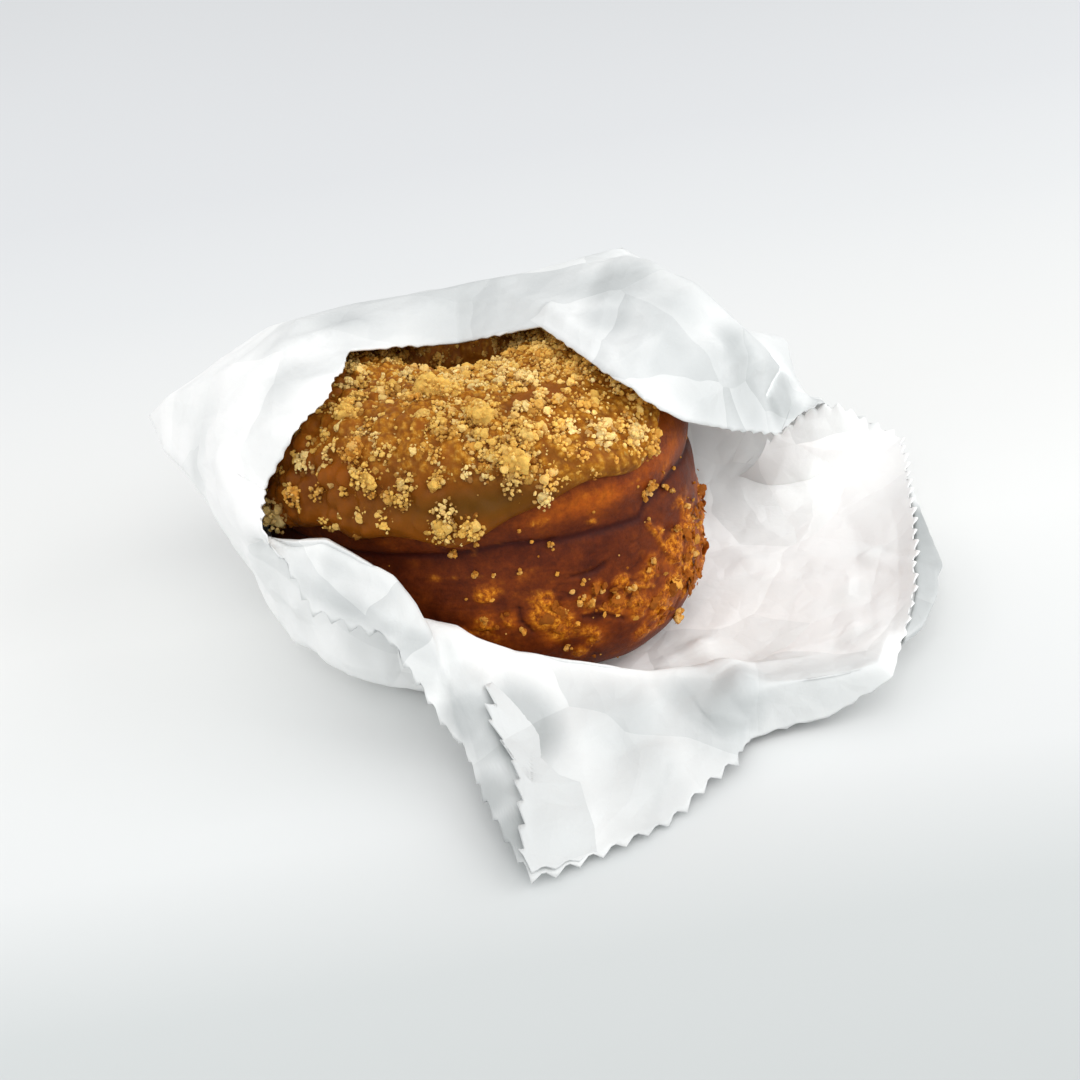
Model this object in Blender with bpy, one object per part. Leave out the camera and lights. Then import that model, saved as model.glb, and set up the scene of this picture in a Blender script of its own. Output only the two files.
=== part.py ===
"""Caramel ring doughnut with shortbread crumbs, lying in its white paper bag.

A tall raised ring doughnut, 88 mm across, is iced with caramel over its top and
shoulder, and large golden crumbs are stuck in the icing.  It lies in a small bakery
bag of thin white paper.  The bag's closed end stands up behind the doughnut and folds
over it as a hood; the torn-open mouth lies spread out to the front and right.

Three solids, metres, +Z up, origin on the table under the middle of the doughnut:
    dough_ring      the fried ring
    caramel_icing   the icing skin with its crumbs fused to it
    paper_bag       one closed sheet, its floor patch flat on the table
"""

import math

import bmesh
import bpy
import numpy as np
from mathutils import Euler, Vector

MM = 0.001

# ---- driving dimensions, millimetres and degrees --------------------------------
PAPER = 0.6               # thickness of the bag's solid
GAP = 0.3                 # clearance kept between neighbouring solids
RING_RADIUS = 42.6        # outer radius of the dough at mid height
RING_HEIGHT = 50.5
HOLE_RADIUS = 9.0         # narrowest radius of the hole
HOLE_CENTRE = (1.0, 5.0)
TOP_ROUNDNESS = 3.6       # superellipse exponents of the section
BASE_ROUNDNESS = 3.4
BASE_SPREAD = 0.09        # the foot leans out to the front right by this share
SPREAD_DIRECTION = -55.0
REAR_DROP = 0.10          # share of height lost at the back
CREASE_ANGLE = 14.0       # section angle of the pale line round the side
CREASE_DEPTH = 0.9
ICING = 1.5               # icing thickness
ICING_GAP = 0.7           # the facets of both skins sag, so their corners stand off more
CRUMBS = 51               # scattered crumbs, besides the large clumps
SEED = 1684

# bulges of the ring's outline: (direction, share of radius, width in degrees)
OUTLINE = (
    (-45, 0.065, 24),
    (12, -0.060, 28),
    (95, -0.070, 40),
    (-140, -0.050, 35),
)

# lower edge of the icing: section angle round the outside, and its wavy drips
EDGE_ANGLE = 27.0
EDGE_WAVES = ((-99, -6.0, 11), (-61, 4.0, 12), (-30, -2.0, 14), (-150, -7.0, 14),
              (40, -5.0, 16), (100, 4.0, 20), (160, -5.0, 16), (-118, -3.0, 4))

# clumps of crumb: (direction, section angle, radius)
CLUMPS = (
    (-98, 92, 3.3), (-90, 84, 2.6), (-82, 62, 3.0), (-78, 44, 3.4), (-73, 50, 2.4),
    (-112, 42, 2.8), (-116, 50, 2.6), (-104, 37, 2.0), (-96, 27, 2.5), (-90, 27, 2.3),
    (-142, 22, 3.2), (-148, 27, 2.6), (-133, 34, 2.3), (-124, 66, 3.0), (-118, 90, 2.6),
    (-74, 31, 1.9), (-48, 31, 2.0), (-58, 44, 2.6), (-50, 40, 2.4), (-44, 58, 2.2),
    (-64, 84, 2.4), (-50, 96, 2.6),
)

# The bag as named stations round the mouth.  Each gives five points of the sheet,
# from the floor out: floor edge, belly, shoulder, turn, free edge (x, y, z in mm).
STATIONS = (
    ("tongue", (2, -36, 0), (3, -47, 6), (4, -48, 17), (4, -64, 7), (2, -86, 2)),
    ("tongue_side", (13, -37, 0), (16, -47, 4), (19, -50, 13), (21, -64, 5), (22, -79, 2)),
    ("notch", (22, -36, 0), (26, -45, 3), (29, -52, 9.5), (33, -60, 6), (36, -68, 2.5)),
    ("rim", (28, -34, 0), (35, -44, 2.5), (39, -52, 8), (40, -60, 10), (39, -61.5, 1.5)),
    ("front_rim", (33, -31, 0), (43, -41, 2), (49, -50, 7.5), (52, -60, 10.5), (53, -61.5, 2.5)),
    ("rim_end", (38, -26, 0), (50, -35, 1.5), (58, -45, 5), (62, -58, 10), (64, -60, 8)),
    ("right_low", (43, -17, 0), (57, -23, 1.5), (67, -30, 4), (72, -37, 8), (74, -39, 11)),
    ("right", (46, -6, 0), (61, -8, 1.5), (72, -11, 4), (79, -14, 8), (82, -15, 11)),
    ("right_high", (47, 5, 0), (62, 7, 2), (74, 10, 4), (83, 14, 7), (90, 17, 10)),
    ("mouth_corner", (45, 13, 0), (59, 19, 4), (69, 22, 8), (77, 25, 11), (82, 26, 13)),
    ("corner_fold", (44, 16, 0), (58, 24, 5), (70, 29, 12), (75, 24, 19), (72, 14, 22)),
    ("hood_end", (43, 19, 0), (57, 28, 7), (71, 38, 28), (66, 14, 25.5), (58.5, -5, 26)),
    ("flap_low", (40, 25, 0), (53, 35, 12), (58, 33, 33), (56, 4, 43), (37.4, -32.5, 45.7)),
    ("flap_tip", (35, 31, 0), (47, 42, 16), (50, 37, 43), (46, 5, 54.5), (28.2, -35.5, 54.4)),
    ("flap_side", (28, 36, 0), (38, 48, 20), (42, 46, 48), (34, 14, 58.5), (23.5, -28, 57)),
    ("top_corner", (19, 40, 0), (27, 53, 22), (38, 42, 52.5), (27, 20, 57.5), (17, -9.5, 57)),
    ("dip", (3, 42, 0), (6, 52, 22), (11, 38, 49.5), (3, 22, 56.5), (1.6, 4.5, 51)),
    ("hood_top", (-17, 39, 0), (-21, 50, 20), (-19, 36, 50.5), (-18, 16, 57), (-17.2, -7, 57)),
    ("back_left", (-31, 30, 0), (-40, 41, 18), (-40, 33, 49), (-28, 12, 57), (-17.8, -16, 57.2)),
    ("ear", (-40, 20, 0), (-51, 28, 14), (-68, 33, 35), (-42, 3, 53.5), (-20, -27.5, 56.8)),
    ("left", (-42, 7, 0), (-51, 11, 12), (-53, 3.5, 32), (-42, -9, 48), (-25.5, -32.5, 53.5)),
    ("left_low", (-37, -7, 0), (-43.5, -7, 14), (-47, -10, 31), (-41, -20, 44), (-33, -29, 43)),
    ("cuff_top", (-30, -18, 0), (-39, -22, 11), (-39, -26, 28), (-35.5, -34, 39), (-32, -38.5, 41)),
    ("cuff", (-24, -25, 0), (-30, -33, 11), (-29, -35, 29), (-23, -41.5, 40), (-27.2, -48, 30)),
    ("cuff_low", (-14, -32, 0), (-18.5, -42.5, 10), (-16.5, -42.5, 26), (-13, -48.5, 34.5), (-15.3, -54, 26.5)),
    ("curl", (-6, -35, 0), (-8, -47, 8), (-6, -47.5, 22), (-7, -54, 17), (-8, -58, 8)),
)
BAG_COLUMNS = 3           # columns of the sheet for each station
BAG_ROWS = 14             # rows from the floor patch to the free edge
FLOOR_SHARE = 0.78        # size of the flat floor patch against the floor edge
CRUMPLE = 0.5             # height of the paper's creases
FOLDED = 0.6              # share of straight facet between stations, against smooth curve


def clear_scene():
    for item in list(bpy.data.objects):
        bpy.data.objects.remove(item, do_unlink=True)


def material(name, colour, roughness):
    mat = bpy.data.materials.new(name)
    mat.use_nodes = True
    shader = mat.node_tree.nodes["Principled BSDF"]
    shader.inputs["Base Color"].default_value = (*colour, 1.0)
    shader.inputs["Roughness"].default_value = roughness
    shader.inputs["Metallic"].default_value = 0.0
    mat.diffuse_color = (*colour, 1.0)
    return mat


def new_object(name, points, faces, mat, smooth=True):
    mesh = bpy.data.meshes.new(name)
    mesh.from_pydata([tuple(p) for p in np.asarray(points) * MM], [], faces)
    mesh.materials.append(mat)
    mesh.update()
    if smooth:
        mesh.shade_smooth()
    item = bpy.data.objects.new(name, mesh)
    bpy.context.scene.collection.objects.link(item)
    return item


# ---- the ring ---------------------------------------------------------------------
def bell(angle, centre, width):
    """Bell curve of the direction `angle` (radians) about `centre` (degrees)."""
    away = (np.degrees(angle) - centre + 180.0) % 360.0 - 180.0
    return np.exp(-away ** 2 / (2.0 * width ** 2))


def ring_surface(turn, section):
    """Point of the dough at a direction and a section angle (0 is the outer side)."""
    radius = RING_RADIUS * (1.0 + sum(s * bell(turn, d, w) for d, s, w in OUTLINE))
    cosine = np.cos(section)
    sine = np.sin(section)
    power = np.where(sine > 0.0, TOP_ROUNDNESS, BASE_ROUNDNESS)
    reach = (np.abs(cosine) ** power + np.abs(sine) ** power) ** (-1.0 / power)
    crease = np.degrees(section) - CREASE_ANGLE - 3.0 * np.cos(2.0 * turn + 1.0)
    crease = (crease + 180.0) % 360.0 - 180.0
    radius = radius - CREASE_DEPTH * np.exp(-crease ** 2 / (2.0 * 4.5 ** 2))
    share = 0.5 + 0.5 * reach * cosine
    z = RING_HEIGHT / 2.0 * (1.0 + reach * sine)
    lean = BASE_SPREAD * RING_RADIUS * (1.0 - z / RING_HEIGHT) * share
    rear = np.clip(0.5 + 0.5 * np.sin(turn) * share, 0.0, 1.0) ** 3
    z = z * (1.0 - REAR_DROP * rear)
    inner_x = HOLE_CENTRE[0] + HOLE_RADIUS * np.cos(turn)
    inner_y = HOLE_CENTRE[1] + HOLE_RADIUS * np.sin(turn)
    x = inner_x + (radius * np.cos(turn) - inner_x) * share
    y = inner_y + (radius * np.sin(turn) - inner_y) * share
    direction = math.radians(SPREAD_DIRECTION)
    x = x + lean * math.cos(direction)
    y = y + lean * math.sin(direction)
    return np.stack([x, y, z + PAPER + GAP], axis=-1)


def ring_offset(turn, section, distance):
    """Point at a distance outside the dough, along the surface normal."""
    step = 1e-3
    along = ring_surface(turn + step, section) - ring_surface(turn - step, section)
    across = ring_surface(turn, section + step) - ring_surface(turn, section - step)
    normal = np.cross(along, across)
    normal /= np.linalg.norm(normal, axis=-1, keepdims=True)
    distance = np.asarray(distance)[..., None] * np.ones_like(normal)
    return ring_surface(turn, section) + normal * distance


def tube_faces(columns, rows):
    """Quads of a grid that closes both ways."""
    faces = []
    for i in range(columns):
        k = (i + 1) % columns
        for j in range(rows):
            m = (j + 1) % rows
            faces.append((i * rows + j, k * rows + j, k * rows + m, i * rows + m))
    return faces


def make_dough(mat):
    columns = 64
    rows = 24
    turn = np.linspace(0.0, 2.0 * math.pi, columns, endpoint=False)[:, None]
    section = np.linspace(0.0, 2.0 * math.pi, rows, endpoint=False)
    section = section + 0.10 * np.sin(2.0 * section)
    points = ring_surface(turn, section[None, :]).reshape(-1, 3)
    return new_object("dough_ring", points, tube_faces(columns, rows), mat)


# ---- the icing and its crumbs -------------------------------------------------------
def icing_edge(turn):
    """Section angle (radians) of the icing's lower edge in each direction."""
    angle = EDGE_ANGLE + 1.2 * np.sin(9.0 * turn) + 0.8 * np.sin(17.0 * turn + 1.0)
    angle = angle + sum(a * bell(turn, d, w) for d, a, w in EDGE_WAVES)
    return np.radians(angle)


def icing_skin(turn, share):
    """Outer face of the icing: share 0 is its lower edge, 1 its edge in the hole."""
    low = icing_edge(turn)
    section = low + (math.radians(152.0) - low) * share
    lip = np.clip(share / 0.08, 0.0, 1.0) * np.clip((1.0 - share) / 0.08, 0.0, 1.0)
    thickness = ICING * (0.55 + 0.45 * lip ** 0.5)
    thickness = thickness + 0.25 * np.sin(5.0 * turn) * np.sin(3.0 * section) * lip
    return section, thickness


def make_icing_skin(mat):
    columns = 64
    shares = np.array([0.0, 0.03, 0.08, 0.17, 0.28, 0.40, 0.52, 0.64, 0.76, 0.87, 0.95, 1.0])
    turn = np.linspace(0.0, 2.0 * math.pi, columns, endpoint=False)[:, None]
    section, thickness = icing_skin(turn, shares[None, :])
    outside = ring_offset(turn, section, GAP + thickness)
    inside = ring_offset(turn, section, np.full_like(section, ICING_GAP))
    points = np.concatenate([outside, inside[:, ::-1]], axis=1)
    rows = points.shape[1]
    return new_object("caramel_icing", points.reshape(-1, 3), tube_faces(columns, rows), mat)


def surface_frame(turn, section):
    """Point and outward unit normal of the dough at a direction and section angle."""
    base = ring_offset(np.array(turn), np.array(section), 0.0)
    normal = ring_offset(np.array(turn), np.array(section), 1.0) - base
    return base, normal


def new_crumb(rng, turn, section, size):
    """An angular lump: a small sphere of 20 faces, its points pushed in and out.

    Its foot is flattened inside the icing, so that no crumb reaches the dough.
    """
    base, normal = surface_frame(turn, section)
    lump = bmesh.new()
    bmesh.ops.create_icosphere(lump, subdivisions=1, radius=1.0)
    spin = Euler(rng.uniform(0.0, 2.0 * math.pi, 3)).to_matrix()
    stretch = rng.uniform(0.85, 1.15, 3)
    seat = base + normal * (GAP + ICING + 0.15 * size)
    for vertex in lump.verts:
        shape = np.array(spin @ vertex.co) * stretch * size * rng.uniform(0.78, 1.16)
        point = seat + shape
        depth = float(np.dot(point - base, normal))
        point = point + normal * max(0.0, ICING_GAP + 0.3 - depth)
        vertex.co = Vector(point * MM)
    mesh = bpy.data.meshes.new("crumb")
    lump.to_mesh(mesh)
    lump.free()
    return bpy.data.objects.new("crumb", mesh)


def crumb_places(rng):
    """Evenly spread places on the icing, thicker on the front shoulder."""
    places = [(math.radians(d), math.radians(a), r) for d, a, r in CLUMPS]
    taken = [ring_offset(np.array(t), np.array(s), GAP + ICING) for t, s, _ in places]
    tries = 0
    while len(places) < len(CLUMPS) + CRUMBS and tries < 20000:
        tries += 1
        turn = rng.uniform(-math.pi, math.pi)
        share = rng.uniform(0.06, 0.84)
        section, _ = icing_skin(np.array(turn), np.array(share))
        thick = 0.35 + 0.65 * float(bell(np.array(turn), -80, 60))
        if rng.uniform() > thick * (0.4 if share < 0.22 else 1.0):
            continue
        point = ring_offset(np.array(turn), section, GAP + ICING)
        size = 1.1 + 1.0 * rng.uniform() ** 2
        if min(np.linalg.norm(point - other) for other in taken) < 2.6 + size:
            continue
        places.append((turn, float(section), size))
        taken.append(point)
    return places


def make_icing(mat):
    rng = np.random.default_rng(SEED)
    icing = make_icing_skin(mat)
    crumbs = bpy.data.collections.new("crumbs")
    bpy.context.scene.collection.children.link(crumbs)
    for turn, section, size in crumb_places(rng):
        crumbs.objects.link(new_crumb(rng, turn, section, size))
    union = icing.modifiers.new("fuse_crumbs", "BOOLEAN")
    union.operation = "UNION"
    union.operand_type = "COLLECTION"
    union.collection = crumbs
    union.solver = "EXACT"
    union.use_self = True
    bpy.context.view_layer.objects.active = icing
    bpy.ops.object.modifier_apply(modifier=union.name)
    for crumb in list(crumbs.objects):
        bpy.data.objects.remove(crumb, do_unlink=True)
    bpy.data.collections.remove(crumbs)
    return icing


# ---- the paper bag ------------------------------------------------------------------
def paper_curve(points, at, closed, straight):
    """Curve through `points` along axis 0, read at the positions `at`.

    A share of it runs straight from point to point, so that the paper keeps a fold at
    each point; the rest is a smooth Catmull-Rom curve.
    """
    count = len(points)
    base = np.floor(at).astype(int)
    if not closed:
        base = np.clip(base, 0, count - 2)
    part = (at - base).reshape((-1,) + (1,) * (points.ndim - 1))

    def pick(index):
        return points[index % count] if closed else points[np.clip(index, 0, count - 1)]

    a, b, c, d = (pick(base + k) for k in (-1, 0, 1, 2))
    smooth = 0.5 * (2.0 * b + (c - a) * part + (2.0 * a - 5.0 * b + 4.0 * c - d) * part ** 2
                    + (3.0 * b - 3.0 * c + d - a) * part ** 3)
    return (1.0 - straight) * smooth + straight * (b + (c - b) * part)


def fold(value):
    """Triangle wave between -1 and 1, the section of creased paper."""
    return 4.0 * np.abs(value - np.floor(value + 0.5)) - 1.0


def grid_normals(grid):
    """Unit normals of a sheet that closes along its columns (axis 1)."""
    across = np.roll(grid, -1, axis=1) - np.roll(grid, 1, axis=1)
    up = np.gradient(grid, axis=0)
    normal = np.cross(up, across)
    normal /= np.linalg.norm(normal, axis=-1, keepdims=True)
    return normal


def bag_sheet():
    """The sheet's inner face as rows x columns x 3, from floor patch to free edge."""
    table = np.array([station[1:] for station in STATIONS], float)
    floor = table[:, :1] * (FLOOR_SHARE, FLOOR_SHARE, 0.0)
    table = np.concatenate([floor, table], axis=1)
    count = len(STATIONS)
    at = np.arange(count * BAG_COLUMNS) / BAG_COLUMNS
    loops = paper_curve(table, at, True, FOLDED)
    rows = np.linspace(0.0, 5.0, BAG_ROWS)
    sheet = paper_curve(np.moveaxis(loops, 1, 0), rows, False, 0.7 * FOLDED)
    along = at[None, :]
    row = rows[:, None]
    crease = fold(0.47 * along + 0.31 * row) + fold(0.83 * along - 0.43 * row + 0.3)
    loose = np.clip((row - 1.2) / 1.0, 0.0, 1.0) * np.clip((5.6 - row) / 1.5, 0.0, 1.0)
    sheet = sheet + grid_normals(sheet) * (0.5 * CRUMPLE * crease * loose)[..., None]
    sheet[..., 2] = np.maximum(sheet[..., 2], PAPER)
    sheet[rows <= 1.0, :, 2] = PAPER
    return sheet


def make_bag(mat):
    inner = bag_sheet()
    normal = grid_normals(inner)
    normal[np.linspace(0.0, 5.0, BAG_ROWS) <= 0.9] = (0.0, 0.0, 1.0)
    outer = inner - PAPER * normal
    outer[..., 2] = np.maximum(outer[..., 2], 0.0)
    rows, columns = inner.shape[:2]
    size = rows * columns
    faces = [tuple(range(columns)), tuple(size + i for i in reversed(range(columns)))]
    spots = inner.reshape(-1, 3)
    for j in range(rows - 1):
        for i in range(columns):
            a = j * columns + i
            b = j * columns + (i + 1) % columns
            c = a + columns
            d = b + columns
            halves = ((b, a, c), (b, c, d))
            if np.linalg.norm(spots[a] - spots[d]) < np.linalg.norm(spots[b] - spots[c]):
                halves = ((a, c, d), (a, d, b))
            for half in halves:
                faces.append(half)
                faces.append(tuple(size + k for k in reversed(half)))
    last = (rows - 1) * columns
    for i in range(columns):
        a = last + i
        b = last + (i + 1) % columns
        faces.append((b, a, size + a, size + b))
    points = np.concatenate([inner.reshape(-1, 3), outer.reshape(-1, 3)])
    return new_object("paper_bag", points, faces, mat)


def main():
    clear_scene()
    dough = material("fried_dough", (0.30, 0.10, 0.03), 0.50)
    caramel = material("caramel", (0.42, 0.19, 0.06), 0.35)
    paper = material("white_paper", (0.86, 0.86, 0.84), 0.60)
    make_dough(dough)
    make_icing(caramel)
    make_bag(paper)


main()
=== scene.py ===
"""Caramel ring doughnut in its white paper bag.

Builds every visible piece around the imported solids: the fried crust and its flakes, the
caramel coat, crumbs from clumps to dust, the creased paper bag with its pinked mouth and
loose leaves, and a plain studio.  Sizes are in millimetres inside the functions and in
metres in the meshes.
"""

import math

import bmesh
import bpy
import numpy as np
from mathutils import Matrix, Vector


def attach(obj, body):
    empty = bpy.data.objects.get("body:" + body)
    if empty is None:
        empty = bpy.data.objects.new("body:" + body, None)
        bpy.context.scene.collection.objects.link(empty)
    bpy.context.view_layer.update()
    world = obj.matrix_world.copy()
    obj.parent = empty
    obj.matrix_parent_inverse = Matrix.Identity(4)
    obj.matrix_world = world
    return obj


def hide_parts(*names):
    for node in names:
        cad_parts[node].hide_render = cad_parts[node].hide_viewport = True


bl_info = {
    "name": "Caramel doughnut in a paper bag",
    "version": (1, 0, 0),
    "blender": (4, 5, 0),
    "location": "View3D > Sidebar > Doughnut",
    "description": "Builds an iced ring doughnut, its crumbs and its paper bag",
    "category": "Add Mesh",
}

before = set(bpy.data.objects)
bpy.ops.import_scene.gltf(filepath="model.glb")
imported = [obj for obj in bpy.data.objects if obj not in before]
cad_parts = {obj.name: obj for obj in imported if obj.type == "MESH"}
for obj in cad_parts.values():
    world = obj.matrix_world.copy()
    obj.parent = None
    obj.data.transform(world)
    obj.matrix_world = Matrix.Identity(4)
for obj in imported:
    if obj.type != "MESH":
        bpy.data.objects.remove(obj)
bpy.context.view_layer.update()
MM = 0.001

# ---- the ring, as in the solids: lengths in mm, angles in degrees -----------------------
PAPER = 0.6
LOWEST = PAPER + 0.1
GAP = 0.3
RING_RADIUS = 42.6
RING_HEIGHT = 50.5
HOLE_RADIUS = 9.0
HOLE_CENTRE = (1.0, 5.0)
TOP_ROUNDNESS = 3.6
BASE_ROUNDNESS = 3.4
BASE_SPREAD = 0.09
SPREAD_DIRECTION = -55.0
REAR_DROP = 0.10
CREASE_ANGLE = 14.0
CREASE_DEPTH = 0.9
CREASE_WIDTH = 4.5
ICING = 1.5
ICING_TOP = 152.0
OUTLINE = (
    (-45, 0.065, 24),
    (12, -0.060, 28),
    (95, -0.070, 40),
    (-140, -0.050, 35),
)
EDGE_ANGLE = 27.0
EDGE_WAVES = ((-99, -6.0, 11), (-61, 4.0, 12), (-30, -2.0, 14), (-150, -7.0, 14),
              (40, -5.0, 16), (100, 4.0, 20), (160, -5.0, 16), (-118, -3.0, 4))

# clumps of crumb: (direction, section angle, radius in mm)
CLUMPS = (
    (-98, 92, 3.3), (-90, 84, 2.6), (-82, 62, 3.0), (-78, 44, 3.4), (-73, 50, 2.4),
    (-112, 42, 2.8), (-116, 50, 2.6), (-104, 37, 2.0), (-96, 27, 2.5), (-90, 27, 2.3),
    (-142, 22, 3.2), (-148, 27, 2.6), (-133, 34, 2.3), (-124, 66, 3.0), (-118, 90, 2.6),
    (-74, 31, 1.9), (-48, 31, 2.0), (-58, 44, 2.6), (-50, 40, 2.4), (-44, 58, 2.2),
    (-64, 84, 2.4), (-50, 96, 2.6),
)
SEED = 1684
LARGE_CRUMBS = 51
CRUMB_REACH = (18.0, 142.0)    # section angles between which loose crumbs lie
BARE_SHOULDER = 17.0           # how much higher the coat ends at the right
SIDE_SPECKS = 120              # specks of crumb on the side, beside the named crumbs
SIDE_GRAINS = 7                # grains in each named crumb

# points round the ring and round its section
CRUST_GRID = (440, 218)
COAT_GRID = (520, 120)

# sizes of crumb on the top: name, part of the number of grains, smallest and largest
# radius in mm, how far they spread from their clump, and the share that lies between
GRAIN_LAYERS = (
    ("crumb_grains", 1, 0.28, 0.46, 1.08, 0.20),
    ("crumb_fines", 1, 0.20, 0.30, 1.14, 0.28),
    ("crumb_dust", 2, 0.14, 0.25, 1.25, 0.40),
)

# on the ring's side, by (direction, section angle): the crease, torn spots with their
# radius in mm, raised slivers of skin, and cracks
CREASE_PATH = ((-180, -110, -100, -91, -84, -77, -72, -64, -58, -52, -49, -36, 0, 180),
               (14, 14, 14, 15, 16, 15, 14, 13, 12, 11, 15, 18, 14, 14))
TEARS = (
    (-79, -13, 3.0), (-91, -3, 1.6), (-92, -13, 2.4), (-75, -17, 3.0), (-66, -9, 1.8),
    (-60, -10, 1.9), (-52, -12, 3.0), (-39, -25, 5.5), (-51, -31, 4.0), (-68, -28, 2.6),
    (-77, -22, 2.4), (-87, -13, 2.0), (-69, -13, 2.2), (-57, -22, 3.4), (-62, -19, 3.0),
    (-43, -10, 3.2), (-33, -14, 5.0), (-46, -22, 4.4), (-28, -28, 6.0), (-36, -4, 3.0),
    (-20, -10, 5.0), (-47, 1, 1.3), (-56, -34, 2.4), (-72, -35, 2.0), (-98, -20, 2.0),
)
SLIVERS = (((-50, 7), (-48, 0), (-46, -9), (-43, -16)), ((-38, 6), (-37, 0), (-38, -5)),
           ((-57, -14), (-52, -18)), ((-66, -17), (-62, -22)))
CRACKS = (((-84, -9), (-84, -15), (-82, -20)), ((-79, -11), (-76, -13)),
          ((-70, -19), (-65, -21), (-61, -25)), ((-71, -1), (-66, -2), (-63, 0)),
          ((-50, -38), (-44, -36), (-40, -31)))

# stations of the bag round its mouth, in mm: floor edge, belly, shoulder, turn, free edge
STATIONS = (
    ("tongue", (2, -36, 0), (3, -47, 6), (4, -48, 17), (4, -64, 7), (2, -86, 2)),
    ("tongue_side", (13, -37, 0), (16, -47, 4), (19, -50, 13), (21, -64, 5), (22, -79, 2)),
    ("notch", (22, -36, 0), (26, -45, 3), (29, -52, 9.5), (33, -60, 6), (36, -68, 2.5)),
    ("rim", (28, -34, 0), (35, -44, 2.5), (39, -52, 8), (40, -60, 10), (39, -61.5, 1.5)),
    ("front_rim", (33, -31, 0), (43, -41, 2), (49, -50, 7.5), (52, -60, 10.5),
     (53, -61.5, 2.5)),
    ("rim_end", (38, -26, 0), (50, -35, 1.5), (58, -45, 5), (62, -58, 10), (64, -60, 8)),
    ("right_low", (43, -17, 0), (57, -23, 1.5), (67, -30, 4), (72, -37, 8), (74, -39, 11)),
    ("right", (46, -6, 0), (61, -8, 1.5), (72, -11, 4), (79, -14, 8), (82, -15, 11)),
    ("right_high", (47, 5, 0), (62, 7, 2), (74, 10, 4), (83, 14, 7), (90, 17, 10)),
    ("mouth_corner", (45, 13, 0), (59, 19, 4), (69, 22, 8), (77, 25, 11), (82, 26, 13)),
    ("corner_fold", (44, 16, 0), (58, 24, 5), (70, 29, 12), (75, 24, 19), (72, 14, 22)),
    ("hood_end", (43, 19, 0), (57, 28, 7), (71, 38, 28), (66, 14, 25.5), (58.5, -5, 26)),
    ("flap_low", (40, 25, 0), (53, 35, 12), (58, 33, 33), (56, 4, 43), (37.4, -32.5, 45.7)),
    ("flap_tip", (35, 31, 0), (47, 42, 16), (50, 37, 43), (46, 5, 54.5), (28.2, -35.5, 54.4)),
    ("flap_side", (28, 36, 0), (38, 48, 20), (42, 46, 48), (34, 14, 58.5), (23.5, -28, 57)),
    ("top_corner", (19, 40, 0), (27, 53, 22), (38, 42, 52.5), (27, 20, 57.5), (17, -9.5, 57)),
    ("dip", (3, 42, 0), (6, 52, 22), (11, 38, 49.5), (3, 22, 56.5), (1.6, 4.5, 51)),
    ("hood_top", (-17, 39, 0), (-21, 50, 20), (-19, 36, 50.5), (-18, 16, 57), (-17.2, -7, 57)),
    ("back_left", (-31, 30, 0), (-40, 41, 18), (-40, 33, 49), (-28, 12, 57),
     (-17.8, -16, 57.2)),
    ("ear", (-40, 20, 0), (-51, 28, 14), (-68, 33, 35), (-42, 3, 53.5), (-20, -27.5, 56.8)),
    ("left", (-42, 7, 0), (-51, 11, 12), (-53, 3.5, 32), (-42, -9, 48), (-25.5, -32.5, 53.5)),
    ("left_low", (-37, -7, 0), (-43.5, -7, 14), (-47, -10, 31), (-41, -20, 44), (-33, -29, 43)),
    ("cuff_top", (-30, -18, 0), (-39, -22, 11), (-39, -26, 28), (-35.5, -34, 39),
     (-32, -38.5, 41)),
    ("cuff", (-24, -25, 0), (-30, -33, 11), (-29, -35, 29), (-23, -41.5, 40), (-27.2, -48, 30)),
    ("cuff_low", (-14, -32, 0), (-18.5, -42.5, 10), (-16.5, -42.5, 26), (-13, -48.5, 34.5),
     (-15.3, -54, 26.5)),
    ("curl", (-6, -35, 0), (-8, -47, 8), (-6, -47.5, 22), (-7, -54, 17), (-8, -58, 8)),
)
FLOOR_SHARE = 0.78
SHEET_FOLDED = 0.82
BAG_COLUMNS = 640
HOOD_STATIONS = ("flap_low", "flap_tip", "flap_side", "top_corner", "dip", "hood_top",
                 "back_left", "ear", "left")
SPREAD_STATIONS = ("right_low", "right", "right_high", "mouth_corner", "rim_end")
STATION_NAMES = [station[0] for station in STATIONS]

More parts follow.
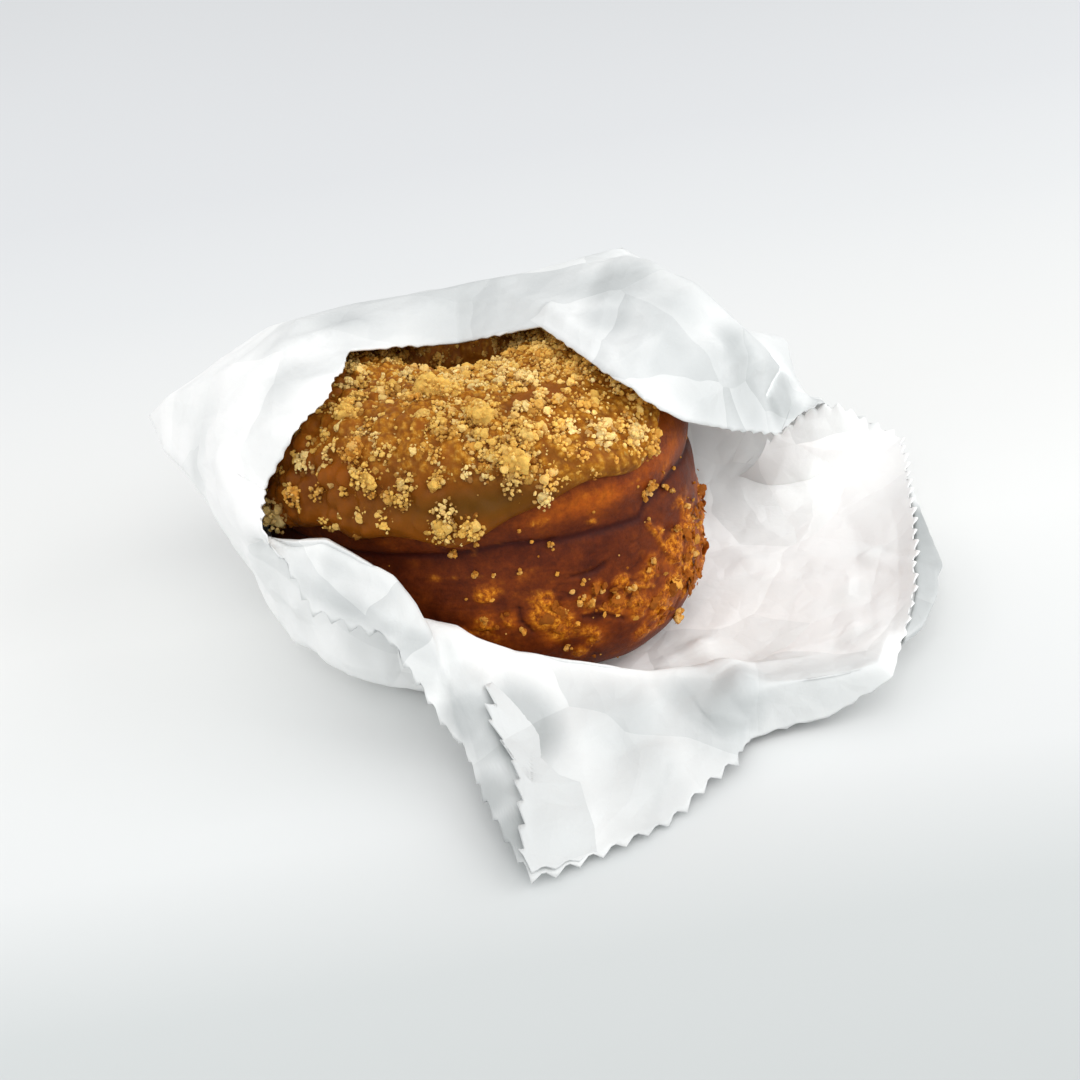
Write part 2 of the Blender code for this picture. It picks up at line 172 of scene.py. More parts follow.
# folds of the paper: height toward the inside and width in mm, and points of the fold
# as (position round the mouth, row)
CREASES = (
    (0.9, 4.0, ((6.96, 1.30), (6.91, 1.66), (6.87, 2.05), (6.76, 2.60), (6.65, 3.24))),
    (0.9, 2.5, ((6.65, 3.24), (6.27, 4.90))),
    (0.9, 5.0, ((12.04, 1.58), (11.18, 1.38), (8.82, 1.14), (7.52, 1.00), (6.96, 1.30))),
    (0.7, 4.0, ((11.08, 1.99), (9.12, 2.09), (8.26, 2.10))),
    (0.6, 6.0, ((8.26, 2.10), (8.19, 2.83), (8.03, 3.65))),
    (0.5, 5.0, ((6.96, 1.30), (6.57, 1.75), (6.27, 2.27), (6.06, 2.85))),
    (0.8, 3.5, ((6.26, 2.85), (5.56, 3.10), (4.94, 3.57))),
    (0.6, 3.0, ((5.92, 3.55), (5.41, 3.70), (4.94, 3.94))),
    (0.5, 5.0, ((9.25, 2.19), (8.79, 2.83), (8.48, 3.46), (8.17, 4.13), (7.87, 5.00))),
    (0.9, 3.5, ((3.10, 1.13), (4.19, 1.28))),
    (0.8, 4.0, ((4.19, 1.28), (3.41, 2.07), (2.94, 3.88))),
    (0.6, 5.0, ((5.88, 1.36), (5.18, 1.26), (4.19, 1.28))),
    (0.9, 4.0, ((1.98, 3.14), (2.06, 3.61), (2.18, 4.11))),
    (0.7, 4.0, ((2.18, 4.11), (1.71, 3.93))),
    (0.8, 4.0, ((25.82, 3.31), (25.92, 3.69), (0.02, 4.04), (0.13, 4.34), (0.24, 4.66))),
    (0.7, 5.0, ((0.80, 3.41), (0.60, 3.73), (0.42, 4.05), (0.55, 4.44), (0.68, 4.90))),
    (0.9, 4.0, ((25.45, 3.71), (25.53, 4.04), (25.64, 4.29))),
    (0.6, 5.0, ((0.96, 3.76), (1.20, 4.21), (1.41, 4.85))),
    (0.5, 6.0, ((0.02, 4.04), (0.39, 3.86), (0.76, 3.70), (1.25, 3.53))),
    (0.6, 5.0, ((0.24, 4.66), (0.52, 4.53), (0.83, 4.39), (1.22, 4.25))),
    (0.7, 3.0, ((22.12, 3.54), (22.44, 4.90), (22.91, 4.64), (23.43, 4.62), (23.94, 4.62))),
    (0.5, 3.0, ((22.95, 4.26), (23.42, 4.27), (23.74, 4.56))),
    (0.8, 4.0, ((24.03, 4.64), (24.54, 4.03), (25.07, 3.36), (25.27, 3.85))),
    (0.5, 3.0, ((23.74, 4.14), (24.12, 4.13), (24.60, 3.14), (25.01, 3.31))),
    (1.2, 7.0, ((14.27, 3.57), (13.94, 4.31), (13.89, 4.66))),
    (-1.0, 2.2, ((15.00, 4.75), (14.40, 4.82), (13.80, 4.84), (13.36, 4.93), (12.94, 5.00))),
    (-0.9, 3.0, ((12.37, 4.41), (12.20, 4.06))),
    (-0.9, 3.0, ((12.37, 4.41), (12.06, 4.31), (11.75, 4.15))),
    (-1.0, 4.0, ((13.96, 3.74), (13.41, 4.03), (12.90, 4.13), (12.30, 4.09))),
    (-0.8, 4.0, ((12.04, 4.12), (11.59, 4.01), (10.90, 3.81), (10.01, 4.77))),
    (-0.5, 9.0, ((13.96, 3.74), (13.44, 4.15), (12.94, 4.33), (12.43, 4.41))),
    (-0.8, 4.0, ((15.63, 4.21), (15.36, 4.49), (15.00, 4.75))),
    (0.6, 4.0, ((16.12, 3.92), (15.86, 4.10), (15.63, 4.21))),
    (-0.9, 3.5, ((18.02, 4.07), (18.46, 4.28), (17.99, 4.41), (16.98, 4.49))),
    (-0.9, 4.0, ((20.10, 3.76), (19.82, 4.25), (19.24, 4.46), (18.91, 4.70), (18.48, 4.97))),
    (-0.9, 6.0, ((20.07, 3.09), (19.94, 3.61), (19.68, 4.21), (18.91, 4.40), (18.23, 4.31))),
    (-0.7, 3.0, ((20.00, 3.26), (20.69, 3.93), (20.48, 4.39))),
    (-0.6, 5.0, ((20.48, 4.39), (20.13, 4.70), (19.79, 4.95))),
    (-0.5, 5.0, ((16.98, 4.49), (16.61, 4.38), (16.25, 4.29), (15.93, 4.35), (15.60, 4.41))),
    (-0.6, 5.0, ((16.62, 4.79), (16.43, 4.53), (16.25, 4.29))),
    (-0.8, 3.5, ((21.87, 3.15), (21.94, 2.58), (22.78, 2.67))),
    (-0.8, 3.5, ((22.78, 2.67), (22.23, 1.92))),
    (-0.6, 5.0, ((22.49, 2.07), (23.37, 2.17), (24.05, 2.20))),
    (-0.6, 4.0, ((23.09, 2.07), (23.43, 4.86))),
)

# places of painted shade on the paper: position round the mouth, row, radius in mm, depth
SHADES = (
    (25.19, 4.29, 4.5, 0.5), (25.04, 3.88, 4, 0.35), (25.51, 4.86, 4.5, 0.45),
    (25.76, 4.9, 4, 0.5), (13.91, 4.25, 7, 0.26), (13.86, 4.53, 5, 0.22),
    (12.14, 4.23, 5, 0.3), (22.7, 4.7, 5, 0.22), (23.46, 4.66, 6, 0.2),
    (24.07, 4.58, 5, 0.25), (24.85, 3.81, 5, 0.3), (25.17, 3.96, 4, 0.35),
    (16.25, 4.2, 14, 0.08), (17.03, 4.15, 12, 0.06), (15.6, 4.41, 9, 0.1),
    (3.69, 4.42, 9, 0.22), (2.96, 4.2, 6, 0.35), (4.49, 4.78, 7, 0.2),
    (6.09, 2.99, 3.5, 0.08), (6.61, 3.53, 3, 0.08), (5.18, 3.26, 4, 0.1),
    (12.17, 4.6, 9, 0.15), (0.28, 4.04, 16, 0.12), (0.98, 4.26, 14, 0.12),
    (2.1, 4.35, 9, 0.12), (2.24, 3.5, 6, 0.2), (23.94, 2.42, 7, 0.15),
    (22.33, 2.57, 6, 0.1), (19.82, 3.5, 6, 0.12), (11.2, 4.56, 4, 0.3),
    (8.76, 4.85, 3, 0.3), (17.76, 4.25, 8, 0.2), (18.67, 4.67, 6, 0.25),
    (11.54, 4.62, 7, 0.3), (11.16, 4.25, 7, 0.22), (25.87, 3.85, 7, 0.45),
    (23.55, 4.33, 8, 0.36), (24.47, 4.66, 6, 0.36), (13.1, 4.34, 8, 0.12),
)
# left edge of the leaf that lies over the tongue: position round the mouth, row
TONGUE_EDGE = ((25.50, 3.42), (25.50, 3.79), (25.48, 4.05), (25.64, 4.20), (25.82, 4.28),
               (25.85, 4.48), (25.89, 4.70), (25.89, 4.97))

# pinked corner at the right of the hood, in mm: its foot on the sheet, then its top
CORNER_LEAF = (
    ((56, 22, 4.2), (62, 16, 3.7), (69, 14.2, 4.4), (76, 15.8, 6.2), (82, 18.8, 8.4)),
    ((61.5, 17, 14.0), (66.0, 16, 17.2), (71, 16, 20.6), (77, 16, 19.8), (82.7, 17, 15.0)),
)

# crumbs fallen on the side: (direction, section angle, radius in mm)
SIDE_CRUMBS = (
    (-48, 19, 1.1), (-49, 18, 0.9), (-46, 18, 0.9), (-47, 21, 0.7), (-42, 15, 0.8),
    (-40, 12, 0.6), (-36, 2, 0.7), (-50, 9, 0.4), (-74, 13, 0.7), (-90, 19, 0.5),
    (-92, 7, 0.7), (-96, 16, 0.9), (-82, 6, 0.5), (-88, 6, 0.5), (-69, -4, 0.6),
    (-51, -8, 0.8), (-58, -14, 0.9), (-65, -10, 0.7), (-62, -14, 0.6), (-74, -14, 0.5),
    (-84, -18, 0.7), (-92, -12, 0.7), (-75, -30, 0.8), (-68, -13, 1.2), (-70, -11, 0.9),
    (-42, -2, 0.8), (-32, -8, 0.9), (-34, -20, 1.0), (-41, -44, 1.2), (-43, -41, 0.9),
)

# lamps: name, place, target and width in metres, power for a side light of 1; the hood
# and the hole stand for daylight through thin paper, which the closed sheet holds back
LAMPS = (
    ("right", (0.904, -0.252, 0.524), (0.04, 0.0, 0.02), 0.81, 3.24),
    ("hood", (0.054, 0.012, 0.031), (0.062, 0.008, 0.0), 0.022, 0.0022),
    ("hole", (0.001, 0.007, 0.049), (0.001, 0.013, 0.020), 0.010, 0.00016),
    ("left", (-1.02, -0.34, 0.496), (0.0, 0.0, 0.02), 1.02, 1.30),
)
SUN_DIRECTION = (0.10, -0.62, 1.0)
FLOOR_REACH = 3.0

# the view: angles in degrees, lengths in mm
VIEW_TILT = 30.0
VIEW_ROLL = -9.0
VIEW_ANGLE = 45.0
VIEW_DISTANCE = 260.0
VIEW_TARGET = (11.0, -2.0, 10.0)


# ---- settings ------------------------------------------------------------------------
class CrustSettings(bpy.types.PropertyGroup):
    """Sizes and colours of the fried crust."""
    lumps: bpy.props.FloatProperty(
        name="Lumps", description="Height of the crust's soft lumps",
        default=0.00045, min=0.0, max=0.002, unit="LENGTH")
    tears: bpy.props.FloatProperty(
        name="Tears", description="Height of the torn, craggy patches",
        default=0.0010, min=0.0, max=0.002, unit="LENGTH")
    flakes: bpy.props.IntProperty(
        name="Flakes", description="Chips of torn crust", default=130, min=10, max=1000)
    dark: bpy.props.StringProperty(
        name="Dark crust", description="Deep-fried brown, sRGB hex", default="602507")
    # the paler crust colour, used for the painted highlight on the side, the painted light in
    # the hole and on the lower side, and round the torn spots
    warm_and_lit: bpy.props.StringProperty(
        name="Warm crust", description="Paler fried orange brown, sRGB hex", default="A04A08")


class IcingSettings(bpy.types.PropertyGroup):
    """Sizes and colours of the caramel coat."""
    thickness: bpy.props.FloatProperty(
        name="Thickness", description="Thickness of the caramel",
        default=ICING * MM, min=0.0005, max=0.004, unit="LENGTH")
    colour: bpy.props.StringProperty(
        name="Caramel", description="Set caramel, sRGB hex", default="7D4409")


class CrumbSettings(bpy.types.PropertyGroup):
    """Numbers and colours of the crumbs."""
    clusters: bpy.props.IntProperty(
        name="Small clumps", description="Clumps of 1 to 4 mm", default=1050, min=10, max=2000)
    bits: bpy.props.IntProperty(
        name="Bits", description="Crumbs of 0.7 to 1.5 mm", default=2200, min=10, max=2400)
    grains: bpy.props.IntProperty(
        name="Grains", description="Crumbs under 0.9 mm", default=9300, min=10, max=9800)
    golden: bpy.props.StringProperty(
        name="Golden", description="Baked shortbread, sRGB hex", default="E5B85C")
    pale: bpy.props.StringProperty(
        name="Pale", description="Inside of the shortbread, sRGB hex", default="F7DE9A")
    toasted: bpy.props.StringProperty(
        name="Toasted", description="Browned shortbread, sRGB hex", default="BE7F2C")


class BagSettings(bpy.types.PropertyGroup):
    """Sizes and colour of the paper bag."""
    sheet: bpy.props.FloatProperty(
        name="Sheet", description="Thickness of the visible sheet",
        default=0.0003, min=0.0001, max=0.0006, unit="LENGTH")
    crumple: bpy.props.FloatProperty(
        name="Crumple", description="Height of the largest creases",
        default=0.0024, min=0.0, max=0.004, unit="LENGTH")
    tooth: bpy.props.FloatProperty(
        name="Tooth", description="Depth of the pinked teeth",
        default=0.0017, min=0.0, max=0.003, unit="LENGTH")
    colour: bpy.props.StringProperty(
        name="Paper", description="White waxed paper, sRGB hex", default="F9F9F8")


class StageSettings(bpy.types.PropertyGroup):
    """Light and floor."""
    sun: bpy.props.FloatProperty(
        name="Overhead light", description="Strength of the broad light from above",
        default=1.00, min=0.0, max=20.0)
    side: bpy.props.FloatProperty(
        name="Side light", description="Power of the large lamps at the right and left",
        default=1.5, min=0.0, max=20.0)
    softness: bpy.props.FloatProperty(
        name="Softness", description="Angle that the overhead light fills",
        default=math.radians(60.0), min=0.0, max=math.pi, subtype="ANGLE")
    sky: bpy.props.FloatProperty(
        name="Room light", description="Strength of the light from all round",
        default=0.74, min=0.0, max=4.0)


SETTINGS = (
    ("doughnut_crust", CrustSettings),
    ("doughnut_icing", IcingSettings),
    ("doughnut_crumbs", CrumbSettings),
    ("doughnut_bag", BagSettings),
    ("doughnut_stage", StageSettings),
)


# ---- noise, worked out for whole arrays ---------------------------------------------
def lattice_value(i, j, k, seed):
    """A repeatable number from 0 to 1 for each whole-number point: its coordinates are
    multiplied by large primes, added, and the bits stirred twice."""
    mask = 0xFFFFFFFF
    n = (i * 374761393 + j * 668265263 + k * 1103515245 + seed * 974634777) & mask
    n = ((n ^ (n >> 13)) * 1274126177) & mask
    n = n ^ (n >> 16)
    return n / mask


def split_lattice(points, size):
    """Whole and fractional parts of points measured in cells of a size."""
    scaled = points / size
    whole = np.floor(scaled)
    return whole.astype(np.int64), scaled - whole


def smooth_noise(points, size, seed):
    """Soft noise from -1 to 1: the lattice values at a cube's eight corners, blended
    along each axis by a share that is three squares less two cubes of the way."""
    whole, part = split_lattice(points, size)
    part = part * part * (3.0 - 2.0 * part)
    total = np.zeros(points.shape[:-1])
    for corner in range(8):
        a, b, c = corner & 1, corner >> 1 & 1, corner >> 2 & 1
        weight = (part[..., 0] if a else 1.0 - part[..., 0])
        weight = weight * (part[..., 1] if b else 1.0 - part[..., 1])
        weight = weight * (part[..., 2] if c else 1.0 - part[..., 2])
        total += weight * lattice_value(whole[..., 0] + a, whole[..., 1] + b,
                                        whole[..., 2] + c, seed)
    return 2.0 * total - 1.0


def layered_noise(points, size, layers, seed):
    """Soft noise added up at halving sizes and halving heights."""
    total = np.zeros(points.shape[:-1])
    for layer in range(layers):
        total += smooth_noise(points, size / 2 ** layer, seed + layer) / 2 ** layer
    return total


def facet_noise(points, size, seed):
    """Flat-sided noise from -1 to 1, as creased paper has: each cube of a turned lattice
    is cut into six tetrahedra, and the value is straight inside each of them."""
    turned = points @ np.array(Matrix.Rotation(seed * 1.7, 3, "X")
                               @ Matrix.Rotation(seed * 2.3 + 0.5, 3, "Y")
                               @ Matrix.Rotation(seed * 0.9 + 0.2, 3, "Z"))
    whole, part = split_lattice(turned + 500.0, size)
    order = np.argsort(-part, axis=-1)
    ranked = np.take_along_axis(part, order, axis=-1)
    step = whole.copy()
    value = lattice_value(step[..., 0], step[..., 1], step[..., 2], seed)
    total = value.copy()
    for rank in range(3):
        for axis in range(3):
            step[..., axis] += order[..., rank] == axis
        following = lattice_value(step[..., 0], step[..., 1], step[..., 2], seed)
        total += ranked[..., rank] * (following - value)
        value = following
    return 2.0 * total - 1.0


def grain_noise(points, size, seed):
    """Packed round grains from 0 to 1: one minus the distance to the nearest of one
    scattered point in each cell."""
    whole, part = split_lattice(points, size)
    nearest = np.full(points.shape[:-1], 9.0)
    for i in (-1, 0, 1):
        for j in (-1, 0, 1):
            for k in (-1, 0, 1):
                cell = [whole[..., axis] + (i, j, k)[axis] for axis in range(3)]
                away = [((i, j, k)[axis] + lattice_value(*cell, seed + 7 * axis)
                         - part[..., axis]) ** 2 for axis in range(3)]
                nearest = np.minimum(nearest, away[0] + away[1] + away[2])
    return np.clip(1.0 - np.sqrt(nearest), 0.0, 1.0)


def soft_step(value, low, high):
    """0 below low, 1 above high, and between them three squares less two cubes of the
    way, which leaves and arrives level."""
    part = np.clip((value - low) / (high - low), 0.0, 1.0)
    return part * part * (3.0 - 2.0 * part)


def hump(value, centre, width):
    """A bell curve: e to the minus square of the distance from the centre in widths."""
    return np.exp(-((value - centre) / width) ** 2)


def wrapped(degrees):
    """The same angles between -180 and 180 degrees."""
    return (degrees + 180.0) % 360.0 - 180.0


def bell(angle, centre, width):
    """Bell curve of an angle in radians about a centre in degrees, round the circle; the
    width is its standard deviation."""
    away = wrapped(np.degrees(angle) - centre)
    return np.exp(-away ** 2 / (2.0 * width ** 2))


def unit(vectors):
    """Vectors divided by their length."""
    return vectors / np.maximum(np.linalg.norm(vectors, axis=-1, keepdims=True), 1e-9)


def quarter_round(way):
    """Height of a quarter circle that starts upright at 0 and is level from 1 on."""
    way = np.minimum(way, 1.0)
    return np.sqrt(np.clip(1.0 - (1.0 - way) ** 2, 0.0, 1.0))


def spaced_angles(count, centre, width, extra):
    """Angles round the circle, packed closer about a centre: one plus extra times a bell
    is added up round it, and the total is divided evenly."""
    fine = np.radians(np.linspace(-180.0, 180.0, 4001))
    total = np.concatenate([[0.0], np.cumsum(1.0 + extra * bell(fine[1:], centre, width))])
    return np.interp(np.linspace(0.0, total[-1], count + 1), total, fine)[:-1]


# ---- surfaces ------------------------------------------------------------------------
def ring_surface(turn, section):
    """The dough: a superellipse section swept round the hole, its outer radius bulged by
    bells, a groove pressed in at the crease, the foot leaning out and the rear lower."""
    radius = RING_RADIUS * (1.0 + sum(s * bell(turn, d, w) for d, s, w in OUTLINE))
    cosine = np.cos(section)
    sine = np.sin(section)
    power = np.where(sine > 0.0, TOP_ROUNDNESS, BASE_ROUNDNESS)
    reach = (np.abs(cosine) ** power + np.abs(sine) ** power) ** (-1.0 / power)
    crease = wrapped(np.degrees(section) - CREASE_ANGLE - 3.0 * np.cos(2.0 * turn + 1.0))
    radius = radius - CREASE_DEPTH * np.exp(-crease ** 2 / (2.0 * CREASE_WIDTH ** 2))
    share = 0.5 + 0.5 * reach * cosine
    z = RING_HEIGHT / 2.0 * (1.0 + reach * sine)
    lean = BASE_SPREAD * RING_RADIUS * (1.0 - z / RING_HEIGHT) * share
    rear = np.clip(0.5 + 0.5 * np.sin(turn) * share, 0.0, 1.0) ** 3
    z = z * (1.0 - REAR_DROP * rear)
    inner_x = HOLE_CENTRE[0] + HOLE_RADIUS * np.cos(turn)
    inner_y = HOLE_CENTRE[1] + HOLE_RADIUS * np.sin(turn)
    x = inner_x + (radius * np.cos(turn) - inner_x) * share
    y = inner_y + (radius * np.sin(turn) - inner_y) * share
    direction = math.radians(SPREAD_DIRECTION)
    x = x + lean * math.cos(direction)
    y = y + lean * math.sin(direction)
    return np.stack([x, y, z + PAPER + GAP], axis=-1)


def ring_normal(turn, section):
    """Outward unit normal: the cross product of the two directions of the surface."""
    step = 1e-3
    along = ring_surface(turn + step, section) - ring_surface(turn - step, section)
    across = ring_surface(turn, section + step) - ring_surface(turn, section - step)
    return unit(np.cross(along, across))


def path_distance(points, spots):
    """Distance of each point to the nearest part of a line through spots."""
    nearest = np.full(points.shape[:-1], 1e9)
    for a, b in zip(spots[:-1], spots[1:]):
        along = np.clip((points - a) @ (b - a) / max(np.dot(b - a, b - a), 1e-6), 0, 1)
        away = np.linalg.norm(points - a - along[..., None] * (b - a), axis=-1)
        nearest = np.minimum(nearest, away)
    return nearest


def drawn_lines(points, paths, width):
    """1 on lines drawn on the ring, falling straight to 0 at a width away from them."""
    height = np.zeros(points.shape[:-1])
    for path in paths:
        turn, section = np.radians(np.array(path, float)).T
        away = path_distance(points, ring_surface(turn, section))
        height = np.maximum(height, 1.0 - away / width)
    return height


def icing_edge(turn):
    """Section angle of the icing's lower edge: a level, two sine ripples, and a bell for
    each drip and gap."""
    angle = EDGE_ANGLE + 1.2 * np.sin(9.0 * turn) + 0.8 * np.sin(17.0 * turn + 1.0)
    angle = angle + sum(a * bell(turn, d, w) for d, a, w in EDGE_WAVES)
    return np.radians(angle)


def coat_edge(turn):
    """Edge of the visible coat: the icing's edge, drawn up by a bell at the right, where
    the dough's shoulder is bare."""
    return icing_edge(turn) + math.radians(BARE_SHOULDER) * bell(turn, -35, 8)


def crumb_cover(turn, section):
    """How thickly crumbs lie, 0 to 1: full above a level that falls to the right, thin
    over the smooth caramel at the left, bare in an oval patch and inside the hole."""
    around = wrapped(np.degrees(turn))
    angle = np.degrees(section)
    level = np.interp(around, (-180, -150, -125, -108, -85, -68, -54, -42, 0, 180),
                      (52, 46, 48, 44, 39, 33, 27, 24, 32, 52))
    cover = soft_step(angle, level - 2.0, level + 5.0)
    bare = (((around + 66.0) / 12.0) ** 2 + ((angle - 66.0) / 9.5) ** 2) ** 2
    cover = cover * (1.0 - 0.97 * np.exp(-bare))
    cover = cover * (1.0 - 0.80 * bell(turn, -150, 26) * (angle < 100))
    return cover * soft_step(150.0 - angle, 0.0, 26.0)


def paper_curve(points, at, closed, straight):
    """Curve through points along axis 0, read at the positions given: a mix of straight
    runs from point to point and the cubic whose slope at each point is half the step
    between its neighbours."""
    count = len(points)
    base = np.floor(at).astype(int)
    if not closed:
        base = np.clip(base, 0, count - 2)
    part = (at - base).reshape((-1,) + (1,) * (points.ndim - 1))

    def pick(index):
        """Points by number, round again or held at the ends."""
        return points[index % count] if closed else points[np.clip(index, 0, count - 1)]

    a, b, c, d = (pick(base + k) for k in (-1, 0, 1, 2))
    smooth = 0.5 * (2.0 * b + (c - a) * part + (2.0 * a - 5.0 * b + 4.0 * c - d) * part ** 2
                    + (3.0 * b - 3.0 * c + d - a) * part ** 3)
    return (1.0 - straight) * smooth + straight * (b + (c - b) * part)


def sheet_normals(grid):
    """Unit normals of a sheet that closes along its columns (axis 1): the cross product
    of the steps up and across."""
    across = np.roll(grid, -1, axis=1) - np.roll(grid, 1, axis=1)
    up = np.gradient(grid, axis=0)
    return unit(np.cross(up, across))


def station_weight(at, names, spread=0.7):
    """How near a position round the mouth is to the named stations, 0 to 1: the
    greatest of a bell about each."""
    count = len(STATIONS)
    total = np.zeros_like(at)
    for name in names:
        away = (at - STATION_NAMES.index(name) + count / 2) % count - count / 2
        total = np.maximum(total, np.exp(-(away / spread) ** 2))
    return total


# ---- meshes ---------------------------------------------------------------------------
def grid_quads(rows, columns, close_rows, close_columns):
    """Corner numbers of a grid's quads, whole arrays at once."""
    i = np.arange(rows if close_rows else rows - 1)[:, None]
    j = np.arange(columns if close_columns else columns - 1)[None, :]
    below = i * columns
    above = (i + 1) % rows * columns
    right = (j + 1) % columns
    quads = np.stack(np.broadcast_arrays(below + j, below + right, above + right,
                                         above + j), axis=-1)
    return quads.reshape(-1, 4)


def halves(quads, turned):
    """Two triangles for each quad, turned over if asked."""
    first, second = ([0, 2, 1], [0, 3, 2]) if turned else ([0, 1, 2], [0, 2, 3])
    return np.concatenate([quads[:, first], quads[:, second]])


def two_sided(quads, size, edge, after, turned):
    """Triangles of a sheet of two faces of a size in points, one facing the other way,
    and of the wall between them along an edge."""
    wall = np.stack([edge, after, size + after, size + edge], axis=-1)
    return np.concatenate([halves(quads, turned), size + halves(quads, not turned),
                           halves(wall, True)])


def make_piece(name, points, faces, nodes, material, attributes=None, smooth=True):
    """A mesh object from an array of points in mm and an array of equal-sized faces. It
    rides on the root body, hides the solids of the nodes and takes the material given."""
    mesh = bpy.data.meshes.new(name)
    points = np.asarray(points, dtype=np.float32).reshape(-1, 3) * MM
    faces = np.asarray(faces, dtype=np.int32)
    sides = faces.shape[1]
    mesh.vertices.add(len(points))
    mesh.vertices.foreach_set("co", points.ravel())
    mesh.loops.add(faces.size)
    mesh.loops.foreach_set("vertex_index", faces.ravel())
    mesh.polygons.add(len(faces))
    mesh.polygons.foreach_set("loop_start", np.arange(0, faces.size, sides, dtype=np.int32))
    for label, values in (attributes or {}).items():
        layer = mesh.color_attributes.new(label, "FLOAT_COLOR", "POINT")
        colour = np.ones((len(points), 4), dtype=np.float32)
        colour[:, :3] = values.reshape(-1, 3)
        layer.data.foreach_set("color", colour.ravel())
    mesh.update(calc_edges=True)
    mesh.polygons.foreach_set("use_smooth", np.full(len(faces), smooth))
    mesh.materials.append(material)
    piece = bpy.data.objects.new(name, mesh)
    bpy.context.scene.collection.objects.link(piece)
    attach(piece, "root")
    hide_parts(*nodes)
    return piece


def fix_outward(piece):
    """Turns the faces of a closed piece outwards if its volume comes out negative."""
    shape = bmesh.new()
    shape.from_mesh(piece.data)
    if shape.calc_volume(signed=True) < 0.0:
        bmesh.ops.reverse_faces(shape, faces=shape.faces)
        shape.to_mesh(piece.data)
    shape.free()


def round_stone(subdivisions):
    """Points and triangles of a sphere of radius one made of triangles."""
    shape = bmesh.new()
    bmesh.ops.create_icosphere(shape, subdivisions=subdivisions, radius=1.0)
    mesh = bpy.data.meshes.new("stone")
    shape.to_mesh(mesh)
    shape.free()
    points = np.empty(3 * len(mesh.vertices))
    mesh.vertices.foreach_get("co", points)
    corners = np.empty(len(mesh.loops), dtype=int)
    mesh.loops.foreach_get("vertex_index", corners)
    bpy.data.meshes.remove(mesh)
    return points.reshape(-1, 3), corners.reshape(-1, 3)


def join_stones(name, points, faces, tints, node, material, smooth=False):
    """One mesh of many stones with the same faces: each stone's corner numbers start
    after the corners of those before it.  The tints become a colour attribute."""
    count, corners = points.shape[:2]
    faces = (faces[None] + (np.arange(count) * corners)[:, None, None]).reshape(-1, 3)
    tints = np.ascontiguousarray(np.broadcast_to(tints, points.shape))
    return make_piece(name, points, faces, [node], material, {"tint": tints}, smooth)


# ---- colours and materials ----------------------------------------------------------
def linear(hex_colour):
    """sRGB hex to linear red, green and blue."""
    values = np.array([int(hex_colour[i:i + 2], 16) / 255.0 for i in (0, 2, 4)])
    return np.where(values <= 0.04045, values / 12.92, ((values + 0.055) / 1.055) ** 2.4)


def rgba(hex_colour):
    """sRGB hex to linear red, green, blue and alpha."""
    return (*(float(v) for v in linear(hex_colour)), 1.0)


def cells(size):
    """Scale of a pattern whose cells measure a size in mm: how many go to the metre."""
    return 1.0 / (size * MM)


def set_inputs(tree, node, inputs):
    """Sets a node's inputs to values or links them to outputs."""
    for key, value in inputs.items():
        if isinstance(value, bpy.types.NodeSocket):
            tree.links.new(value, node.inputs[key])
        else:
            node.inputs[key].default_value = value


def add_node(tree, kind, settings=None, inputs=None):
    """Adds a node, sets its properties, and sets or links its inputs."""
    node = tree.nodes.new(kind)
    for key, value in (settings or {}).items():
        setattr(node, key, value)
    set_inputs(tree, node, inputs or {})
    return node


def new_material(name):
    """A material with a bare Principled shader; returns it, its tree, the shader and the
    piece's Object coordinates."""
    material = bpy.data.materials.new(name)
    material.use_nodes = True
    tree = material.node_tree
    place = add_node(tree, "ShaderNodeTexCoord").outputs["Object"]
    return material, tree, tree.nodes["Principled BSDF"], place


def colour_ramp(tree, factor, stops):
    """A ramp through stops of a position and a hex colour; returns its colour."""
    ramp = add_node(tree, "ShaderNodeValToRGB", {}, {"Fac": factor})
    elements = ramp.color_ramp.elements
    while len(elements) < len(stops):
        elements.new(0.5)
    for element, (position, colour) in zip(elements, stops):
        element.position = position
        element.color = rgba(colour)
    return ramp.outputs["Color"]


MIX = {"data_type": "RGBA"}
MULTIPLY = {"data_type": "RGBA", "blend_type": "MULTIPLY"}


